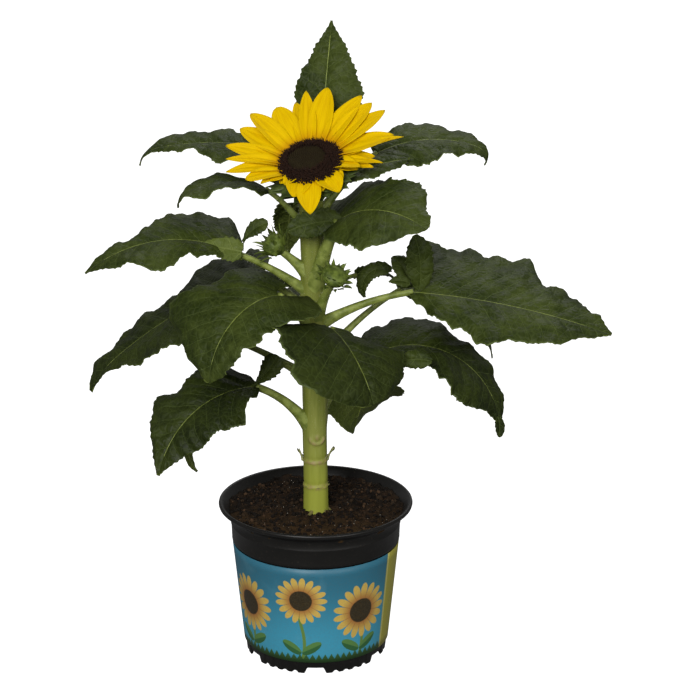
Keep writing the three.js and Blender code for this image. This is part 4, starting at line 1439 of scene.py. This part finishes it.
disc_dark = grainy_finish("disc_dark", 300, 3, (24, 13, 7), (44, 25, 13), 0.3 * MM,
                          Roughness=0.85, Specular_IOR_Level=0.2)
disc_heart, tree, shader = new_finish("disc_heart", Roughness=0.8, Specular_IOR_Level=0.08)
tone = grain(tree, place_of(tree), 180, 3)
paint(tree, shader, tone, colour(30, 24, 12), colour(44, 37, 20))
raise_surface(tree, shader, grain(tree, place_of(tree), 1400, 2), 0.2 * MM)
disc_fuzz = grainy_finish("disc_fuzz", 500, 2, (20, 10, 7), (60, 33, 17),
                          Roughness=0.8, Specular_IOR_Level=0.2)
set_piece("disc_bed", moved(disc_base, BLOOM), "disc_florets", [disc_dark], "disc")
set_piece("disc_heart_florets", strewn(closed_floret, closed_places), "disc_florets", [disc_heart])
set_piece("disc_ring_florets", strewn(open_floret, open_places), "disc_florets", [disc_dark])
set_piece("disc_ring_tufts", strewn(tuft, tuft_places), "disc_florets", [disc_fuzz])


# -------------------------------------------------------------------------- Hairs
# Short stiff white hairs stand out all over the stem's upper half, the stalks and
# the shoots of the buds.
HAIRS_ON_STEM = 2600
HAIRS_PER_STALK = 150
HAIR_RADIUS = 0.045 * MM
HAIR_LENGTHS = (0.7 * MM, 1.7 * MM)
BARE_SHARE = 0.22


def hair_place(point, outward, chance):
    """A hair at a point of skin, leaning a little from the way out."""
    way = (outward + Vector([chance.gauss(0, 0.28) for _ in range(3)])).normalized()
    size = Matrix.Diagonal((HAIR_RADIUS, HAIR_RADIUS, chance.uniform(*HAIR_LENGTHS), 1))
    return Matrix.Translation(point) @ pointing(way) @ size


hair = bmesh.new()
bmesh.ops.create_cone(hair, cap_ends=True, segments=3, radius1=1, radius2=0.1, depth=1)
bmesh.ops.translate(hair, verts=hair.verts, vec=(0, 0, 0.42))
hair.verts.ensure_lookup_table()
chance = random.Random(67)
hair_places = []
for _ in range(HAIRS_ON_STEM):
    share = BARE_SHARE + (1 - BARE_SHARE) * chance.random() ** 0.6
    height = STEM_FOOT + (STEM_TOP - STEM_FOOT) * share
    point, outward = stem_point(height, chance.uniform(0, 2 * math.pi))
    hair_places.append(hair_place(point, outward, chance))
for facts in list(LEAVES.values()) + list(BUDS.values()):
    stations = stalk_limb(facts)
    for _ in range(HAIRS_PER_STALK):
        share = chance.uniform(0.06, 1)
        turn = chance.uniform(-math.pi / 2, 1.5 * math.pi)
        point, side, _, normal = stations[round(share * STALK_RINGS)]
        outward = side * math.cos(turn) + normal * math.sin(turn)
        root = point + outward * stalk_radius(facts, share, turn)
        hair_places.append(hair_place(root, outward, chance))
white_hair = grainy_finish("white_hair", 200, 2, (176, 184, 140), (222, 226, 200),
                           Roughness=0.5, Specular_IOR_Level=0.4)
set_piece("stem_hairs", strewn(hair, hair_places), "stem_skin", [white_hair])


# ------------------------------------------------------------------------- Studio
# A plain white floor and surround, a large soft lamp just above the lens and a little
# to its left, a weaker one on the right and a faint one behind.
FLOOR_SIZE = 12
SURROUND_LIGHT = 0.22
FLOOR_GREY = 0.12
FLOOR_GLOW = 0.05
FLOOR_SEEN = 1.2
LAMPS = {
    "key": dict(at=(-0.55, -1.9, 1.35), size=1.0, power=40),
    "fill": dict(at=(1.1, -1.6, 0.9), size=1.0, power=12),
    "back": dict(at=(0.2, 1.2, 1.6), size=1.2, power=9),
}

floor_form = bmesh.new()
bmesh.ops.create_grid(floor_form, x_segments=2, y_segments=2, size=FLOOR_SIZE / 2)
floor_mesh = bpy.data.meshes.new("floor")
floor_form.to_mesh(floor_mesh)
floor_form.free()
floor = bpy.data.objects.new("floor", floor_mesh)
bpy.context.collection.objects.link(floor)
floor_paint, tree, shader = new_finish("floor_paint", Roughness=0.9, Specular_IOR_Level=0.0)
shader.inputs["Base Color"].default_value = (FLOOR_GREY, FLOOR_GREY, FLOOR_GREY, 1)
shader.inputs["Emission Color"].default_value = (1, 1, 1, 1)
seen = tree.nodes.new("ShaderNodeLightPath").outputs["Is Camera Ray"]
tree.links.new(span(tree, seen, 0, 1, FLOOR_GLOW, FLOOR_SEEN), shader.inputs["Emission Strength"])
floor_mesh.materials.append(floor_paint)

for name, facts in LAMPS.items():
    lamp = bpy.data.lights.new(name, "AREA")
    lamp.energy = facts["power"]
    lamp.size = facts["size"]
    holder = bpy.data.objects.new(name, lamp)
    bpy.context.collection.objects.link(holder)
    holder.location = facts["at"]
    holder.rotation_euler = (AIM - holder.location).to_track_quat("-Z", "Y").to_euler()

world = bpy.data.worlds.new("surround")
bpy.context.scene.world = world
world.use_nodes = True
sky_tree = world.node_tree
sky_light = sky_tree.nodes["Background"]
sky_light.inputs["Color"].default_value = (1, 1, 0.99, 1)
seen = sky_tree.nodes.new("ShaderNodeLightPath").outputs["Is Camera Ray"]
sky_strength = span(sky_tree, seen, 0, 1, SURROUND_LIGHT, 1.0)
sky_tree.links.new(sky_strength, sky_light.inputs["Strength"])
bpy.context.scene.view_settings.view_transform = "Standard"
